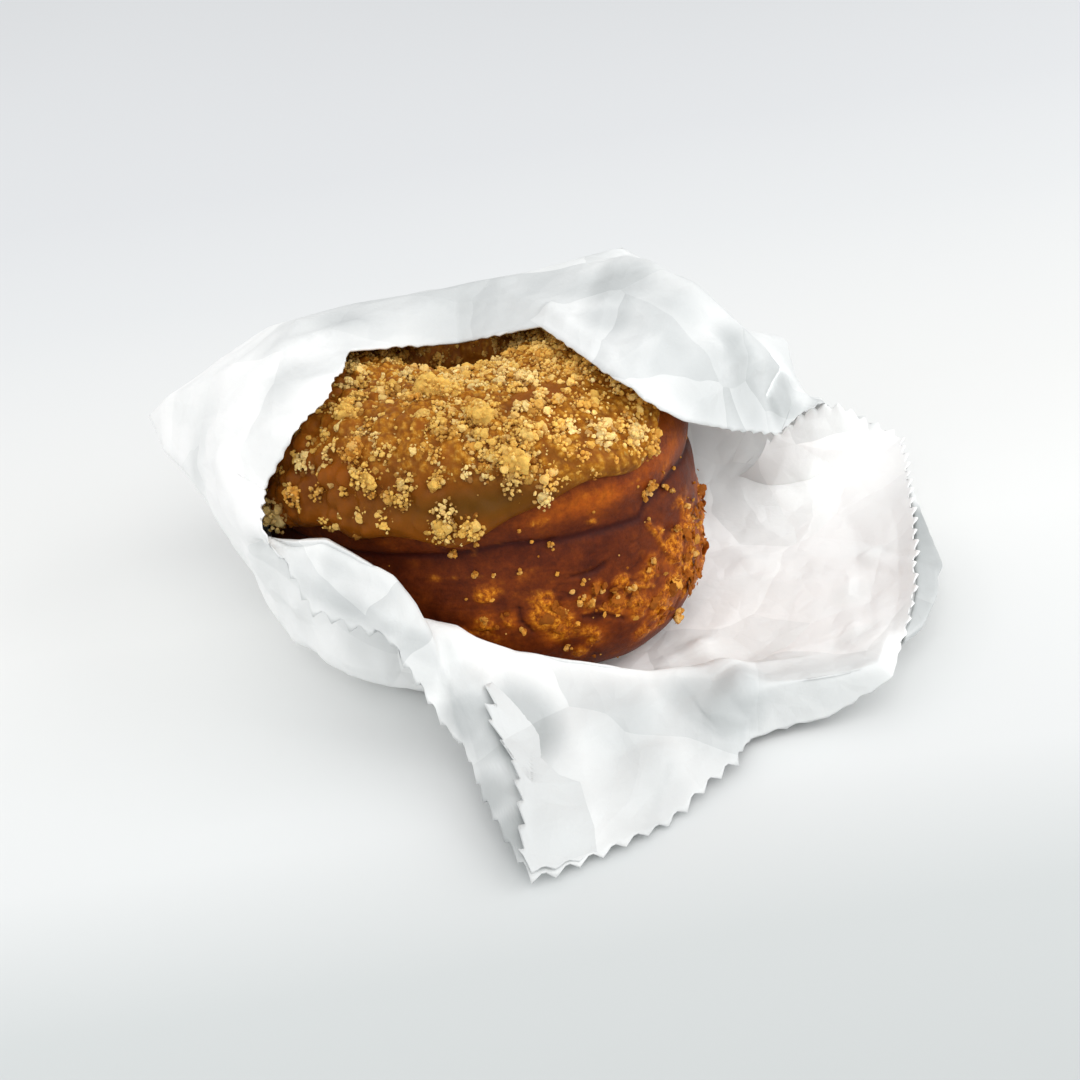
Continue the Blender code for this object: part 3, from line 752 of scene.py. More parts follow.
def crust_material(settings):
    """Deep-fried yeast dough: a thin, slightly oily brown skin, mottled at 5 mm where it
    browned unevenly, ragged and orange where it is torn.  Painted shade darkens it to a
    dark red brown in the crease, the wrinkles and the cracks, and painted light makes a
    paler orange stripe on the side, the right shoulder, the lower side and the hole.
    Its pores, down to 0.1 mm in the real one, are drawn at 0.6 and 0.9 mm to show."""
    material, tree, shader, place = new_material("fried_dough_crust")
    masks = add_node(tree, "ShaderNodeAttribute", {"attribute_name": "crust_masks"})
    mask = add_node(tree, "ShaderNodeSeparateColor", {}, {"Color": masks.outputs["Color"]})
    mottle = add_node(tree, "ShaderNodeTexNoise", {}, {
        "Vector": place, "Scale": cells(4.762), "Detail": 8.0, "Roughness": 0.68})
    speckle = add_node(tree, "ShaderNodeTexNoise", {}, {
        "Vector": place, "Scale": cells(0.9091), "Detail": 4.0, "Roughness": 0.75})
    base = colour_ramp(tree, mottle.outputs["Fac"], (
        (0.30, "4A1804"), (0.47, settings.dark), (0.60, "723008"), (0.76, "94480A")))
    # painted highlight and painted light: the paler colours of the stripe on the side, the
    # lower side and the hole, also used round the torn spots
    warm_and_lit = colour_ramp(tree, mottle.outputs["Fac"], (
        (0.28, "762E06"), (0.50, settings.warm_and_lit), (0.72, "BE620E")))
    torn = colour_ramp(tree, speckle.outputs["Fac"], (
        (0.30, "6E2E04"), (0.45, "A65408"), (0.57, "C87814"), (0.72, "E4A23A")))
    lit_and_warm = add_node(tree, "ShaderNodeMix", MIX, {
        "Factor": mask.outputs["Blue"], "A": base, "B": warm_and_lit})
    # painted shade: the crease, the wrinkles and the cracks darkened toward a dark red brown
    creased = add_node(tree, "ShaderNodeMix", MIX, {
        "Factor": mask.outputs["Green"], "A": lit_and_warm.outputs["Result"], "B": rgba("3C0F06")})
    ragged = add_node(tree, "ShaderNodeMix", MIX, {
        "Factor": mask.outputs["Red"], "A": creased.outputs["Result"], "B": torn})
    pores = add_node(tree, "ShaderNodeMapRange", {}, {
        "Value": speckle.outputs["Fac"], "From Min": 0.32, "From Max": 0.68,
        "To Min": 0.74, "To Max": 1.20})
    toned = add_node(tree, "ShaderNodeMix", MULTIPLY, {
        "Factor": 1.0, "A": ragged.outputs["Result"], "B": pores.outputs["Result"]})
    rough = add_node(tree, "ShaderNodeMapRange", {}, {
        "Value": mottle.outputs["Fac"], "From Min": 0.3, "From Max": 0.7,
        "To Min": 0.42, "To Max": 0.62})
    fine = add_node(tree, "ShaderNodeTexNoise", {}, {
        "Vector": place, "Scale": cells(0.5882), "Detail": 5.0, "Roughness": 0.7})
    bump = add_node(tree, "ShaderNodeBump", {}, {
        "Height": fine.outputs["Fac"], "Strength": 0.55, "Distance": 0.22 * MM})
    set_inputs(tree, shader, {
        "Base Color": toned.outputs["Result"], "Roughness": rough.outputs["Result"],
        "Normal": bump.outputs["Normal"], "Specular IOR Level": 0.14,
        "Subsurface Weight": 0.05, "Subsurface Radius": (1.0, 0.40, 0.12),
        "Subsurface Scale": 1.5 * MM})
    return material


def caramel_material(settings):
    """Set caramel: satin, a little see-through and cloudy at 7 mm where it was stirred;
    golden with biscuit dust between packed crumbs, and darker greenish brown in a
    painted shade low on the front.  The dust, under 0.1 mm in the real one, is drawn
    at 0.8 mm to show."""
    material, tree, shader, place = new_material("soft_caramel")
    masks = add_node(tree, "ShaderNodeAttribute", {"attribute_name": "icing_masks"})
    mask = add_node(tree, "ShaderNodeSeparateColor", {}, {"Color": masks.outputs["Color"]})
    cloud = add_node(tree, "ShaderNodeTexNoise", {}, {
        "Vector": place, "Scale": cells(6.667), "Detail": 6.0, "Roughness": 0.6})
    caramel = colour_ramp(tree, cloud.outputs["Fac"], (
        (0.30, "643006"), (0.48, settings.colour), (0.70, "934E0C")))
    # painted shade: darker greenish brown in a band low on the front
    olive_shade = add_node(tree, "ShaderNodeMix", MIX, {
        "Factor": mask.outputs["Green"], "A": caramel, "B": rgba("5E3A06")})
    dust = add_node(tree, "ShaderNodeTexNoise", {}, {
        "Vector": place, "Scale": cells(0.7692), "Detail": 3.0, "Roughness": 0.7})
    golden = colour_ramp(tree, dust.outputs["Fac"], (
        (0.30, "8A500C"), (0.50, "B47620"), (0.72, "D8A44A")))
    mixed = add_node(tree, "ShaderNodeMix", MIX, {
        "Factor": mask.outputs["Red"], "A": olive_shade.outputs["Result"], "B": golden})
    rough = add_node(tree, "ShaderNodeMapRange", {}, {
        "Value": mask.outputs["Red"], "To Min": 0.42, "To Max": 0.85})
    bump = add_node(tree, "ShaderNodeBump", {}, {
        "Height": dust.outputs["Fac"], "Strength": 0.35, "Distance": 0.15 * MM})
    set_inputs(tree, shader, {
        "Base Color": mixed.outputs["Result"], "Roughness": rough.outputs["Result"],
        "Normal": bump.outputs["Normal"], "Specular IOR Level": 0.10,
        "Subsurface Weight": 0.06, "Subsurface Radius": (1.0, 0.45, 0.12),
        "Subsurface Scale": 1.5 * MM})
    return material


def crumb_material(name):
    """Baked shortbread, or fried dough torn into flakes: dry, matt and crumbly at 0.6 mm,
    each crumb or flake with its own tint."""
    material, tree, shader, place = new_material(name)
    tint = add_node(tree, "ShaderNodeAttribute", {"attribute_name": "tint"})
    speckle = add_node(tree, "ShaderNodeTexNoise", {}, {
        "Vector": place, "Scale": cells(0.5882), "Detail": 3.0, "Roughness": 0.7})
    shade = add_node(tree, "ShaderNodeMapRange", {}, {
        "Value": speckle.outputs["Fac"], "From Min": 0.3, "From Max": 0.7,
        "To Min": 0.78, "To Max": 1.12})
    toned = add_node(tree, "ShaderNodeMix", MULTIPLY, {
        "Factor": 1.0, "A": tint.outputs["Color"], "B": shade.outputs["Result"]})
    bump = add_node(tree, "ShaderNodeBump", {}, {
        "Height": speckle.outputs["Fac"], "Strength": 0.4, "Distance": 0.15 * MM})
    set_inputs(tree, shader, {
        "Base Color": toned.outputs["Result"], "Normal": bump.outputs["Normal"],
        "Roughness": 0.8, "Specular IOR Level": 0.15, "Subsurface Weight": 0.10,
        "Subsurface Radius": (1.0, 0.6, 0.2), "Subsurface Scale": 0.8 * MM})
    return material


def shortbread_material():
    """The one material that all crumbs share, made on first use."""
    name = "shortbread_crumb"
    return bpy.data.materials.get(name) or crumb_material(name)


def paper_material(settings):
    """Thin waxed paper: white, a soft sheen, and painted shade: greyer by the shade
    attribute and by a grey of its own for each facet of 21 mm, with flat facets of 21
    and 5 mm between creases.  Its fibres, 0.03 mm thick in the real one, are drawn as
    clouds of 1.7 mm to show."""
    material, tree, shader, place = new_material("white_waxed_paper")
    shade = add_node(tree, "ShaderNodeAttribute", {"attribute_name": "shade"})
    drift = add_node(tree, "ShaderNodeTexNoise", {}, {
        "Vector": place, "Scale": cells(18.182)})
    moved = add_node(tree, "ShaderNodeVectorMath", {"operation": "MULTIPLY_ADD"}, {
        0: drift.outputs["Color"], 1: (6.0 * MM,) * 3, 2: place})
    large = add_node(tree, "ShaderNodeTexVoronoi", {"feature": "DISTANCE_TO_EDGE"}, {
        "Vector": moved.outputs["Vector"], "Scale": cells(20.833)})
    # painted shade: each facet of 21 mm gets a grey of its own
    cell = add_node(tree, "ShaderNodeTexVoronoi", {}, {
        "Vector": moved.outputs["Vector"], "Scale": cells(20.833)})
    facet_shade = add_node(tree, "ShaderNodeSeparateColor", {}, {"Color": cell.outputs["Color"]})
    grey = add_node(tree, "ShaderNodeMath", {"operation": "MULTIPLY_ADD"}, {
        0: facet_shade.outputs["Red"], 1: 0.19, 2: shade.outputs["Fac"]})
    # the white of the paper runs to the grey of painted shade
    white = colour_ramp(tree, grey.outputs["Value"], (
        (0.0, settings.colour), (0.06, "F4F5F4"), (0.5, "C9CCCC"), (1.0, "8F9494")))
    small = add_node(tree, "ShaderNodeTexVoronoi", {"feature": "DISTANCE_TO_EDGE"}, {
        "Vector": moved.outputs["Vector"], "Scale": cells(5.405)})
    fibre = add_node(tree, "ShaderNodeTexNoise", {}, {
        "Vector": place, "Scale": cells(1.667), "Detail": 4.0, "Roughness": 0.6})
    fine = add_node(tree, "ShaderNodeMath", {"operation": "MULTIPLY_ADD"}, {
        0: small.outputs["Distance"], 1: 0.13, 2: large.outputs["Distance"]})
    height = add_node(tree, "ShaderNodeMath", {"operation": "MULTIPLY_ADD"}, {
        0: fibre.outputs["Fac"], 1: 0.05, 2: fine.outputs["Value"]})
    bump = add_node(tree, "ShaderNodeBump", {}, {
        "Height": height.outputs["Value"], "Strength": 0.8, "Distance": 2.2 * MM})
    set_inputs(tree, shader, {
        "Base Color": white, "Normal": bump.outputs["Normal"], "Roughness": 0.62,
        "Specular IOR Level": 0.18, "Subsurface Weight": 0.15,
        "Subsurface Radius": (1.0, 0.97, 0.93), "Subsurface Scale": 0.3 * MM})
    return material


def floor_material():
    """Matt white board with painted shade: greyer near, far and to the right."""
    material, tree, shader, place = new_material("matt_white_board")
    axes = add_node(tree, "ShaderNodeSeparateXYZ", {}, {"Vector": place})
    depth = add_node(tree, "ShaderNodeMapRange", {}, {
        "Value": axes.outputs["Y"], "From Min": -140.0 * MM, "From Max": 360.0 * MM})
    # painted shade: greyer near and far than in the middle, and darker toward the right
    grey = colour_ramp(tree, depth.outputs["Result"], (
        (0.02, "C6CACA"), (0.08, "CCD0D0"), (0.14, "E0E2E2"), (0.28, "EAEBEA"),
        (0.42, "E4E5E4"), (0.70, "DCDEDF"), (1.0, "D8DADC")))
    side = add_node(tree, "ShaderNodeMapRange", {}, {
        "Value": axes.outputs["X"], "From Min": -280.0 * MM, "From Max": 150.0 * MM,
        "To Min": 1.02, "To Max": 0.97})
    toned = add_node(tree, "ShaderNodeMix", MULTIPLY, {
        "Factor": 1.0, "A": grey, "B": side.outputs["Result"]})
    set_inputs(tree, shader, {
        "Base Color": toned.outputs["Result"], "Roughness": 0.95, "Specular IOR Level": 0.0})
    return material


# ---- crust -----------------------------------------------------------------------------
class MESH_OT_doughnut_crust(bpy.types.Operator):
    """Make the fried crust of the ring"""
    bl_idname = "mesh.doughnut_crust"
    bl_label = "Fried crust"

    def execute(self, context):
        # the ring's surface moved along its normal: soft lumps, less wrinkles, pores,
        # the crease and the cracks, plus crags and grains where it is torn and slivers
        settings = context.scene.doughnut_crust
        turn = spaced_angles(CRUST_GRID[0], -65.0, 60.0, 1.4)[:, None]
        section = spaced_angles(CRUST_GRID[1], -5.0, 42.0, 2.2)[None, :]
        turn, section = np.broadcast_arrays(turn, section)
        base = ring_surface(turn, section)
        normal = ring_normal(turn, section)
        lumps = settings.lumps / MM
        tears = settings.tears / MM
        angle = wrapped(np.degrees(section))
        around = wrapped(np.degrees(turn))
        torn = np.zeros(base.shape[:-1])
        for t, a, size in TEARS:
            seat = ring_surface(np.radians(t), np.radians(a))
            torn = np.maximum(torn, hump(np.linalg.norm(base - seat, axis=-1), 0.0, size))
        ragged = layered_noise(base * (0.6, 0.6, 1.15), 3.0, 4, 31)
        patch = soft_step(torn + 0.62 * ragged, 0.34, 0.92)
        # wrinkles drawn out along the ring, sharpest low on the front
        stretched = base * (0.20, 0.20, 1.0)
        wrinkles = 1.0 - 2.0 * np.abs(layered_noise(stretched, 1.5, 2, 41))
        front = bell(turn, -66, 22) * hump(angle, -6.0, 14.0)
        lines = soft_step(wrinkles, 0.72, 1.0) * (0.15 + 0.85 * front)
        rise = lumps * layered_noise(base, 13.0, 3, 11)
        rise = rise - 0.20 * lines * (1.0 - patch)
        craggy = 1.0 - 1.6 * np.abs(layered_noise(base, 2.6, 4, 35))
        rise = rise + tears * patch * (0.10 + 0.55 * craggy)
        rise = rise + patch * 0.26 * (grain_noise(base, 1.1, 51) - 0.45)
        rise = rise - 0.10 * soft_step(grain_noise(base, 2.2, 61), 0.74, 0.95)
        level = np.interp(around, *CREASE_PATH) + 0.5 * layered_noise(base, 9.0, 2, 71)
        fine = hump(angle - level, 0.0, 1.3)
        broad = hump(angle - level, -1.5, 5.0)
        rise = rise - 0.38 * fine
        sliver = drawn_lines(base, SLIVERS, 0.75)
        sliver = np.clip(sliver + 0.3 * ragged * (sliver > 0.0), 0.0, 1.0)
        crack = drawn_lines(base, CRACKS, 0.6)
        rise = rise + 0.55 * sliver - 0.45 * crack
        # masks: red where torn; green for painted shade in the crease, the wrinkles and the
        # cracks; blue for painted light on a paler stripe of the side, the right shoulder, the
        # lower side and the hole, and for the warmer colour round the torn spots
        # painted highlight: a paler stripe on the side and at the right shoulder
        highlight_and_tear_tint = hump(angle, 25.0, 5.0) * (0.12 + 0.88 * bell(turn, -61, 12))
        highlight_and_tear_tint = highlight_and_tear_tint + 0.7 * bell(turn, -36, 9) * soft_step(angle, 19.0, 30.0)
        # painted light: a little lighter low on the side
        low = 0.10 * hump(angle, -30.0, 14.0)
        # and warmer round the torn spots
        highlight_and_tear_tint = highlight_and_tear_tint + 0.55 * soft_step(torn + 0.3 * ragged, 0.10, 0.60)
        # painted light: lighter inside the hole
        hole = 0.9 * soft_step(np.abs(angle), 100.0, 140.0)
        # painted shade: darker in the crease, the wrinkles and the cracks
        crease_shade = 0.85 * fine + 0.32 * broad + 0.55 * lines + 0.8 * crack * (1.0 - sliver)
        masks = np.stack([np.maximum(patch, sliver), np.clip(crease_shade * (1.0 - patch), 0, 1),
                          np.clip(highlight_and_tear_tint + low + hole, 0, 1)], axis=-1)
        points = base + normal * rise[..., None]
        points[..., 2] = np.maximum(points[..., 2], LOWEST)
        faces = grid_quads(turn.shape[0], turn.shape[1], True, True)
        piece = make_piece("fried_crust", points, faces[:, ::-1], ["dough_ring"],
                           crust_material(settings), {"crust_masks": masks})
        fix_outward(piece)
        return {"FINISHED"}


class MESH_OT_doughnut_flakes(bpy.types.Operator):
    """Make the torn flakes of crust, flat chips lying on the torn patches"""
    bl_idname = "mesh.doughnut_flakes"
    bl_label = "Crust flakes"

    def execute(self, context):
        # stones with their corners pushed in or out, pressed to a third of their height,
        # tilted, and set on the crust about the torn spots
        settings = context.scene.doughnut_crust
        rng = np.random.default_rng(SEED + 9)
        spots = np.array(TEARS)
        count = settings.flakes
        chance = spots[:, 2] ** 1.5
        spots = spots[rng.choice(len(spots), count, p=chance / chance.sum())]
        turn = np.radians(spots[:, 0] + rng.normal(size=count) * spots[:, 2])
        section = np.radians(spots[:, 1] + rng.normal(size=count) * spots[:, 2])
        _, frames = surface_frames(turn, section)
        centres = ring_surface(turn, section) + frames[:, 2] * 0.45
        sizes = 0.28 + 0.85 * rng.uniform(0, 1, count) ** 2.5
        tints = np.where(rng.uniform(0, 1, (count, 1)) < 0.22, linear("D8963C"),
                         linear("A05814")) * rng.uniform(0.75, 1.15, (count, 1))
        stone, faces = round_stone(2)
        push = rng.uniform(0.62, 1.38, (count, len(stone), 1))
        shape = stone[None] * push * rng.uniform(0.7, 1.5, (count, 1, 3))
        tilt = rng.normal(size=(count, 1, 2)) * 0.35
        shape[..., 2] = 0.32 * shape[..., 2] + (shape[..., :2] * tilt).sum(axis=-1)
        shape = np.einsum("nji,nvj->nvi", frames, shape)
        points = centres[:, None, :] + shape * sizes[:, None, None]
        points[..., 2] = np.maximum(points[..., 2], LOWEST)
        join_stones("crust_flakes", points, faces, tints[:, None, :],
                    "dough_ring", crumb_material("torn_fried_dough"))
        return {"FINISHED"}


# ---- caramel ---------------------------------------------------------------------------
class MESH_OT_doughnut_icing(bpy.types.Operator):
    """Make the caramel coat"""
    bl_idname = "mesh.doughnut_icing"
    bl_label = "Caramel coat"

    def execute(self, context):
        # the ring's surface raised by the coat's thickness, waves of 9 and 3 mm and the
        # grains packed under thick crumbs, and rounded off at both edges
        settings = context.scene.doughnut_icing
        turn = spaced_angles(COAT_GRID[0], -80.0, 60.0, 1.3)[:, None]
        low = coat_edge(turn)
        share = np.concatenate([[0.0, 0.004, 0.010, 0.018, 0.028],
                                np.linspace(0.04, 0.97, COAT_GRID[1]),
                                [0.985, 0.995, 1.0]])[None, :]
        section = low + (math.radians(ICING_TOP) - low) * share
        turn, section = np.broadcast_arrays(turn, section)
        base = ring_surface(turn, section)
        normal = ring_normal(turn, section)
        lip = quarter_round(share / 0.03) * quarter_round((1.0 - share) / 0.03)
        rim = 1.0 + 0.35 * hump(share, 0.035, 0.03)
        cover = crumb_cover(turn, section)
        rise = settings.thickness / MM * rim
        rise = rise + 0.36 * layered_noise(base, 9.0, 3, 13)
        rise = rise + 0.22 * layered_noise(base, 3.0, 2, 83)
        # crumbs sunk in the caramel at the left
        sunk = soft_step(grain_noise(base, 2.9, 93), 0.34, 0.66) * bell(turn, -132, 30)
        rise = rise + sunk
        grains = grain_noise(base, 1.15, 23)
        rise = rise + cover * (0.85 * grains + 0.35 * layered_noise(base, 3.2, 2, 33))
        rise = 0.10 + np.maximum(rise, 0.5) * lip
        outside = base + normal * (GAP + rise)[..., None]
        inside = (base + normal * 0.12)[:, ::12]
        points = np.concatenate([outside, inside[:, ::-1]], axis=1)
        # masks: red where dusted with biscuit, green for painted shade, greenish brown low on
        # the front
        # painted shade low in the coat on the front
        olive_shade = hump(np.degrees(section), 33.0, 6.0) * bell(turn, -88, 16)
        dusted = cover * (0.15 + 0.85 * soft_step(grains, 0.36, 0.72))
        masks = np.stack([dusted, olive_shade, np.zeros_like(dusted)], axis=-1)
        masks = np.concatenate([masks, np.zeros_like(inside)], axis=1)
        faces = grid_quads(points.shape[0], points.shape[1], True, True)
        piece = make_piece("caramel_coat", points, faces[:, ::-1],
                           ["caramel_icing"], caramel_material(settings),
                           {"icing_masks": masks})
        fix_outward(piece)
        return {"FINISHED"}


# ---- crumbs ----------------------------------------------------------------------------
def spin_matrices(rng, count):
    """Random turns, from random unit quaternions."""
    q = rng.normal(size=(count, 4))
    w, x, y, z = unit(q).T
    rows = [[1 - 2 * (y * y + z * z), 2 * (x * y - z * w), 2 * (x * z + y * w)],
            [2 * (x * y + z * w), 1 - 2 * (x * x + z * z), 2 * (y * z - x * w)],
            [2 * (x * z - y * w), 2 * (y * z + x * w), 1 - 2 * (x * x + y * y)]]
    return np.moveaxis(np.array(rows), -1, 0)


def crumb_tints(rng, count, settings):
    """A colour for each crumb: golden, mixed toward pale or toasted by a draw."""
    golden, pale, toasted = (linear(c) for c in
                             (settings.golden, settings.pale, settings.toasted))
    draw = rng.uniform(-1.0, 1.0, (count, 1))
    colour = np.where(draw > 0.0, golden + (pale - golden) * draw ** 2,
                      golden + (toasted - golden) * np.abs(draw) ** 1.5)
    return colour * rng.uniform(0.86, 1.12, (count, 1))


def scatter_crumbs(name, centres, sizes, tints, detail, rough, rng):
    """One joined mesh of crumbs: a stone of unit radius, each corner pushed in or out,
    stretched, turned, scaled to its size and set on its centre."""
    stone, faces = round_stone(detail)
    count = len(centres)
    push = rng.uniform(1.0 - rough, 1.0 + rough, (count, len(stone), 1))
    stretch = rng.uniform(0.75, 1.25, (count, 1, 3))
    shape = np.einsum("nij,nvj->nvi", spin_matrices(rng, count), stone[None] * push * stretch)
    points = centres[:, None, :] + shape * sizes[:, None, None]
    join_stones(name, points, faces, tints[:, None, :], "caramel_icing",
                shortbread_material())


def heaped(rng, seats, frames, sizes, index, spread):
    """Centres of the crumbs of a clump, and how high each lies in it (0 to 1): a random
    way and share of the radius, folded up into the half ball above the clump's seat.
    Each crumb's clump is given by its index."""
    count = len(index)
    way = unit(rng.normal(size=(count, 3)))
    way *= rng.uniform(0, 1, (count, 1)) ** 0.28
    way[:, 2] = 0.95 * np.abs(way[:, 2])
    reach = way * sizes[index][:, None] * spread
    return seats[index] + np.einsum("nij,ni->nj", frames[index], reach), way[:, 2]


def kept_apart(centres, sizes, share):
    """Which of the centres to keep so that no two lie nearer than a share of their two
    sizes; earlier ones stay."""
    keep = np.zeros(len(centres), bool)
    for number in range(len(centres)):
        away = np.linalg.norm(centres[keep] - centres[number], axis=1)
        keep[number] = not np.any(away < share * (sizes[keep] + sizes[number]))
    return keep


def spread_seats(rng, count, weight, low, high):
    """Places on the ring whose number per area follows a weight: cells of a fine grid
    are drawn by area times weight, then each place moves at random in its cell."""
    turns = np.radians(np.linspace(-180.0, 180.0, 721))
    sections = np.radians(np.linspace(low, high, 305))
    turn, section = np.meshgrid(turns, sections, indexing="ij")
    grid = ring_surface(turn, section)
    area = np.linalg.norm(np.cross(grid[1:, :-1] - grid[:-1, :-1],
                                   grid[:-1, 1:] - grid[:-1, :-1]), axis=-1)
    chance = (area * weight(turn[:-1, :-1], section[:-1, :-1])).ravel()
    cell = rng.choice(chance.size, size=count, p=chance / chance.sum())
    i, j = np.unravel_index(cell, area.shape)
    turn = turns[i] + rng.uniform(0, 1, count) * (turns[1] - turns[0])
    section = sections[j] + rng.uniform(0, 1, count) * (sections[1] - sections[0])
    return turn, section


def large_crumb_places(rng):
    """The same evenly spread places as the crumbs fused to the solid icing."""
    places = [(math.radians(d), math.radians(a), r) for d, a, r in CLUMPS]

    def seat(turn, section):
        """The point on top of the icing."""
        turn, section = np.array(turn), np.array(section)
        return ring_surface(turn, section) + ring_normal(turn, section) * (GAP + ICING)

    taken = [seat(turn, section) for turn, section, _ in places]
    tries = 0
    while len(places) < len(CLUMPS) + LARGE_CRUMBS and tries < 20000:
        tries += 1
        turn = rng.uniform(-math.pi, math.pi)
        share = rng.uniform(0.06, 0.84)
        low = float(icing_edge(np.array(turn)))
        section = low + (math.radians(ICING_TOP) - low) * share
        thick = 0.35 + 0.65 * float(bell(np.array(turn), -80, 60))
        if rng.uniform() > thick * (0.4 if share < 0.22 else 1.0):
            continue
        point = seat(turn, section)
        size = 1.1 + 1.0 * rng.uniform() ** 2
        if min(np.linalg.norm(point - other) for other in taken) < 2.6 + size:
            continue
        places.append((turn, section, size))
        taken.append(point)
    return np.array(places)


def surface_frames(turn, section):
    """Seat on the icing, and the unit directions along the ring, across it and outward,
    as the rows of a matrix."""
    normal = ring_normal(turn, section)
    along = unit(ring_surface(turn + 1e-3, section) - ring_surface(turn - 1e-3, section))
    frames = np.stack([along, np.cross(normal, along), normal], axis=-2)
    return ring_surface(turn, section) + normal * (GAP + ICING), frames


def bit_weight(turn, section):
    """How thickly loose crumbs lie: the cover in soft patches, with a few over the
    smooth caramel, more at the front, and none below the coat's edge."""
    front = 0.28 + 0.72 * bell(turn, -70, 55)
    place = ring_surface(turn, section)
    patchy = 0.40 + 0.60 * soft_step(layered_noise(place, 5.0, 2, 91), -0.35, 0.30)
    cover = crumb_cover(turn, section) * patchy + 0.05 + 0.14 * bell(turn, -135, 22)
    return cover * front * (section > coat_edge(turn) + 0.04)


def crumb_clusters(settings):
    """The clumps that crumbs gather in: the large ones first, then many small ones
    where the topping lies thickly, kept apart.  Returns turn, section, size, tint."""
    large = large_crumb_places(np.random.default_rng(SEED))
    rng = np.random.default_rng(SEED + 1)
    count = 3 * settings.clusters
    turn, section = spread_seats(rng, count, bit_weight, *CRUMB_REACH)
    size = 0.50 + 1.60 * rng.uniform(0, 1, count) ** 2.4
    turn = np.concatenate([large[:, 0], turn])
    section = np.concatenate([large[:, 1], section])
    size = np.concatenate([large[:, 2], size])
    section = np.maximum(section, coat_edge(turn) + 0.05)
    keep = kept_apart(surface_frames(turn, section)[0], size, 0.58)
    keep[:len(large)] = True
    turn, section, size = (v[keep][:len(large) + settings.clusters]
                           for v in (turn, section, size))
    tint = crumb_tints(rng, len(size), settings)
    tint[:4] = linear(settings.golden) * 1.06
    tint[17] = linear(settings.pale) * 0.95
    return turn, section, size, tint


class MESH_OT_doughnut_clumps(bpy.types.Operator):
    """Make the cores of the large clumps of crumb"""
    bl_idname = "mesh.doughnut_clumps"
    bl_label = "Crumb clumps"

    def execute(self, context):
        settings = context.scene.doughnut_crumbs
        turn, section, size, tint = crumb_clusters(settings)
        count = len(CLUMPS) + LARGE_CRUMBS
        turn, section, size, tint = (v[:count] for v in (turn, section, size, tint))
        rng = np.random.default_rng(SEED + 5)
        seat, frames = surface_frames(turn, section)
        stone, faces = round_stone(4)
        stretch = rng.uniform(0.65, 1.25, (count, 1, 3))
        shape = np.einsum("nij,nvj->nvi", spin_matrices(rng, count), stone[None] * stretch)
        size = np.where(np.arange(count) < 5, 0.84, 0.66) * size
        centres = seat + frames[:, 2] * (0.10 * size)[:, None]
        where = shape * size[:, None, None] + centres[:, None, :]
        # broken, grainy faces: flat facets with packed grains on them
        grains = grain_noise(where, 0.95, 9)
        swell = 0.84 + 0.34 * facet_noise(where, 2.4, 5) + 0.34 * (grains - 0.4)
        points = centres[:, None, :] + shape * swell[..., None] * size[:, None, None]
        # painted shade: darker in the hollows between the grains
        colours = tint[:, None, :] * (0.70 + 0.45 * grains[..., None])
        join_stones("crumb_clumps", points, faces, colours, "caramel_icing",
                    shortbread_material(), smooth=True)
        return {"FINISHED"}


def clustered_crumbs(settings, rng, count, smallest, largest, spread, loose):
    """Centres, sizes and tints of crumbs, most of them gathered in the clumps and a
    share loose on the icing between.  Low ones are darker brown, painted shade low in
    the heaps and caramel soaked into them."""
    turn, section, size, tint = crumb_clusters(settings)
    seat, frames = surface_frames(turn, section)
    chance = size ** 1.7
    gathered = int(count * (1.0 - loose))
    index = rng.choice(len(size), gathered, p=chance / chance.sum())
    centres, height = heaped(rng, seat, frames, size, index, spread)
    own = crumb_tints(rng, count, settings)
    own[:gathered] = 0.6 * tint[index] + 0.4 * own[:gathered]
    turn, section = spread_seats(rng, count - gathered, bit_weight, *CRUMB_REACH)
    seat, frames = surface_frames(turn, section)
    cover = crumb_cover(turn, section)
    heap = 0.1 + 0.9 * cover * rng.uniform(0, 1, len(turn)) ** 1.5
    centres = np.concatenate([centres, seat + frames[:, 2] * heap[:, None]])
    height = np.concatenate([height, 0.15 + 0.5 * heap])
    # painted shade and soaking: crumbs low in a heap are mixed toward a caramel brown
    dry = soft_step(height, 0.0, 0.55)[:, None]
    own = linear("8A5216") * (1.0 - dry) + own * dry
    # painted light: crumbs lighter toward the right
    own = own * (1.0 + 0.26 * soft_step(centres[:, :1], 4.0, 24.0))
    sizes = rng.uniform(smallest, largest, count)
    return centres, sizes, own


class MESH_OT_doughnut_bits(bpy.types.Operator):
    """Make the middle-sized crumbs, gathered in clumps on the top"""
    bl_idname = "mesh.doughnut_bits"
    bl_label = "Crumb bits"

    def execute(self, context):
        settings = context.scene.doughnut_crumbs
        rng = np.random.default_rng(SEED + 2)
        centres, sizes, tints = clustered_crumbs(settings, rng, settings.bits,
                                                 0.36, 0.82, 0.95, 0.12)
        scatter_crumbs("crumb_bits", centres, sizes, tints, 2, 0.24, rng)
        return {"FINISHED"}


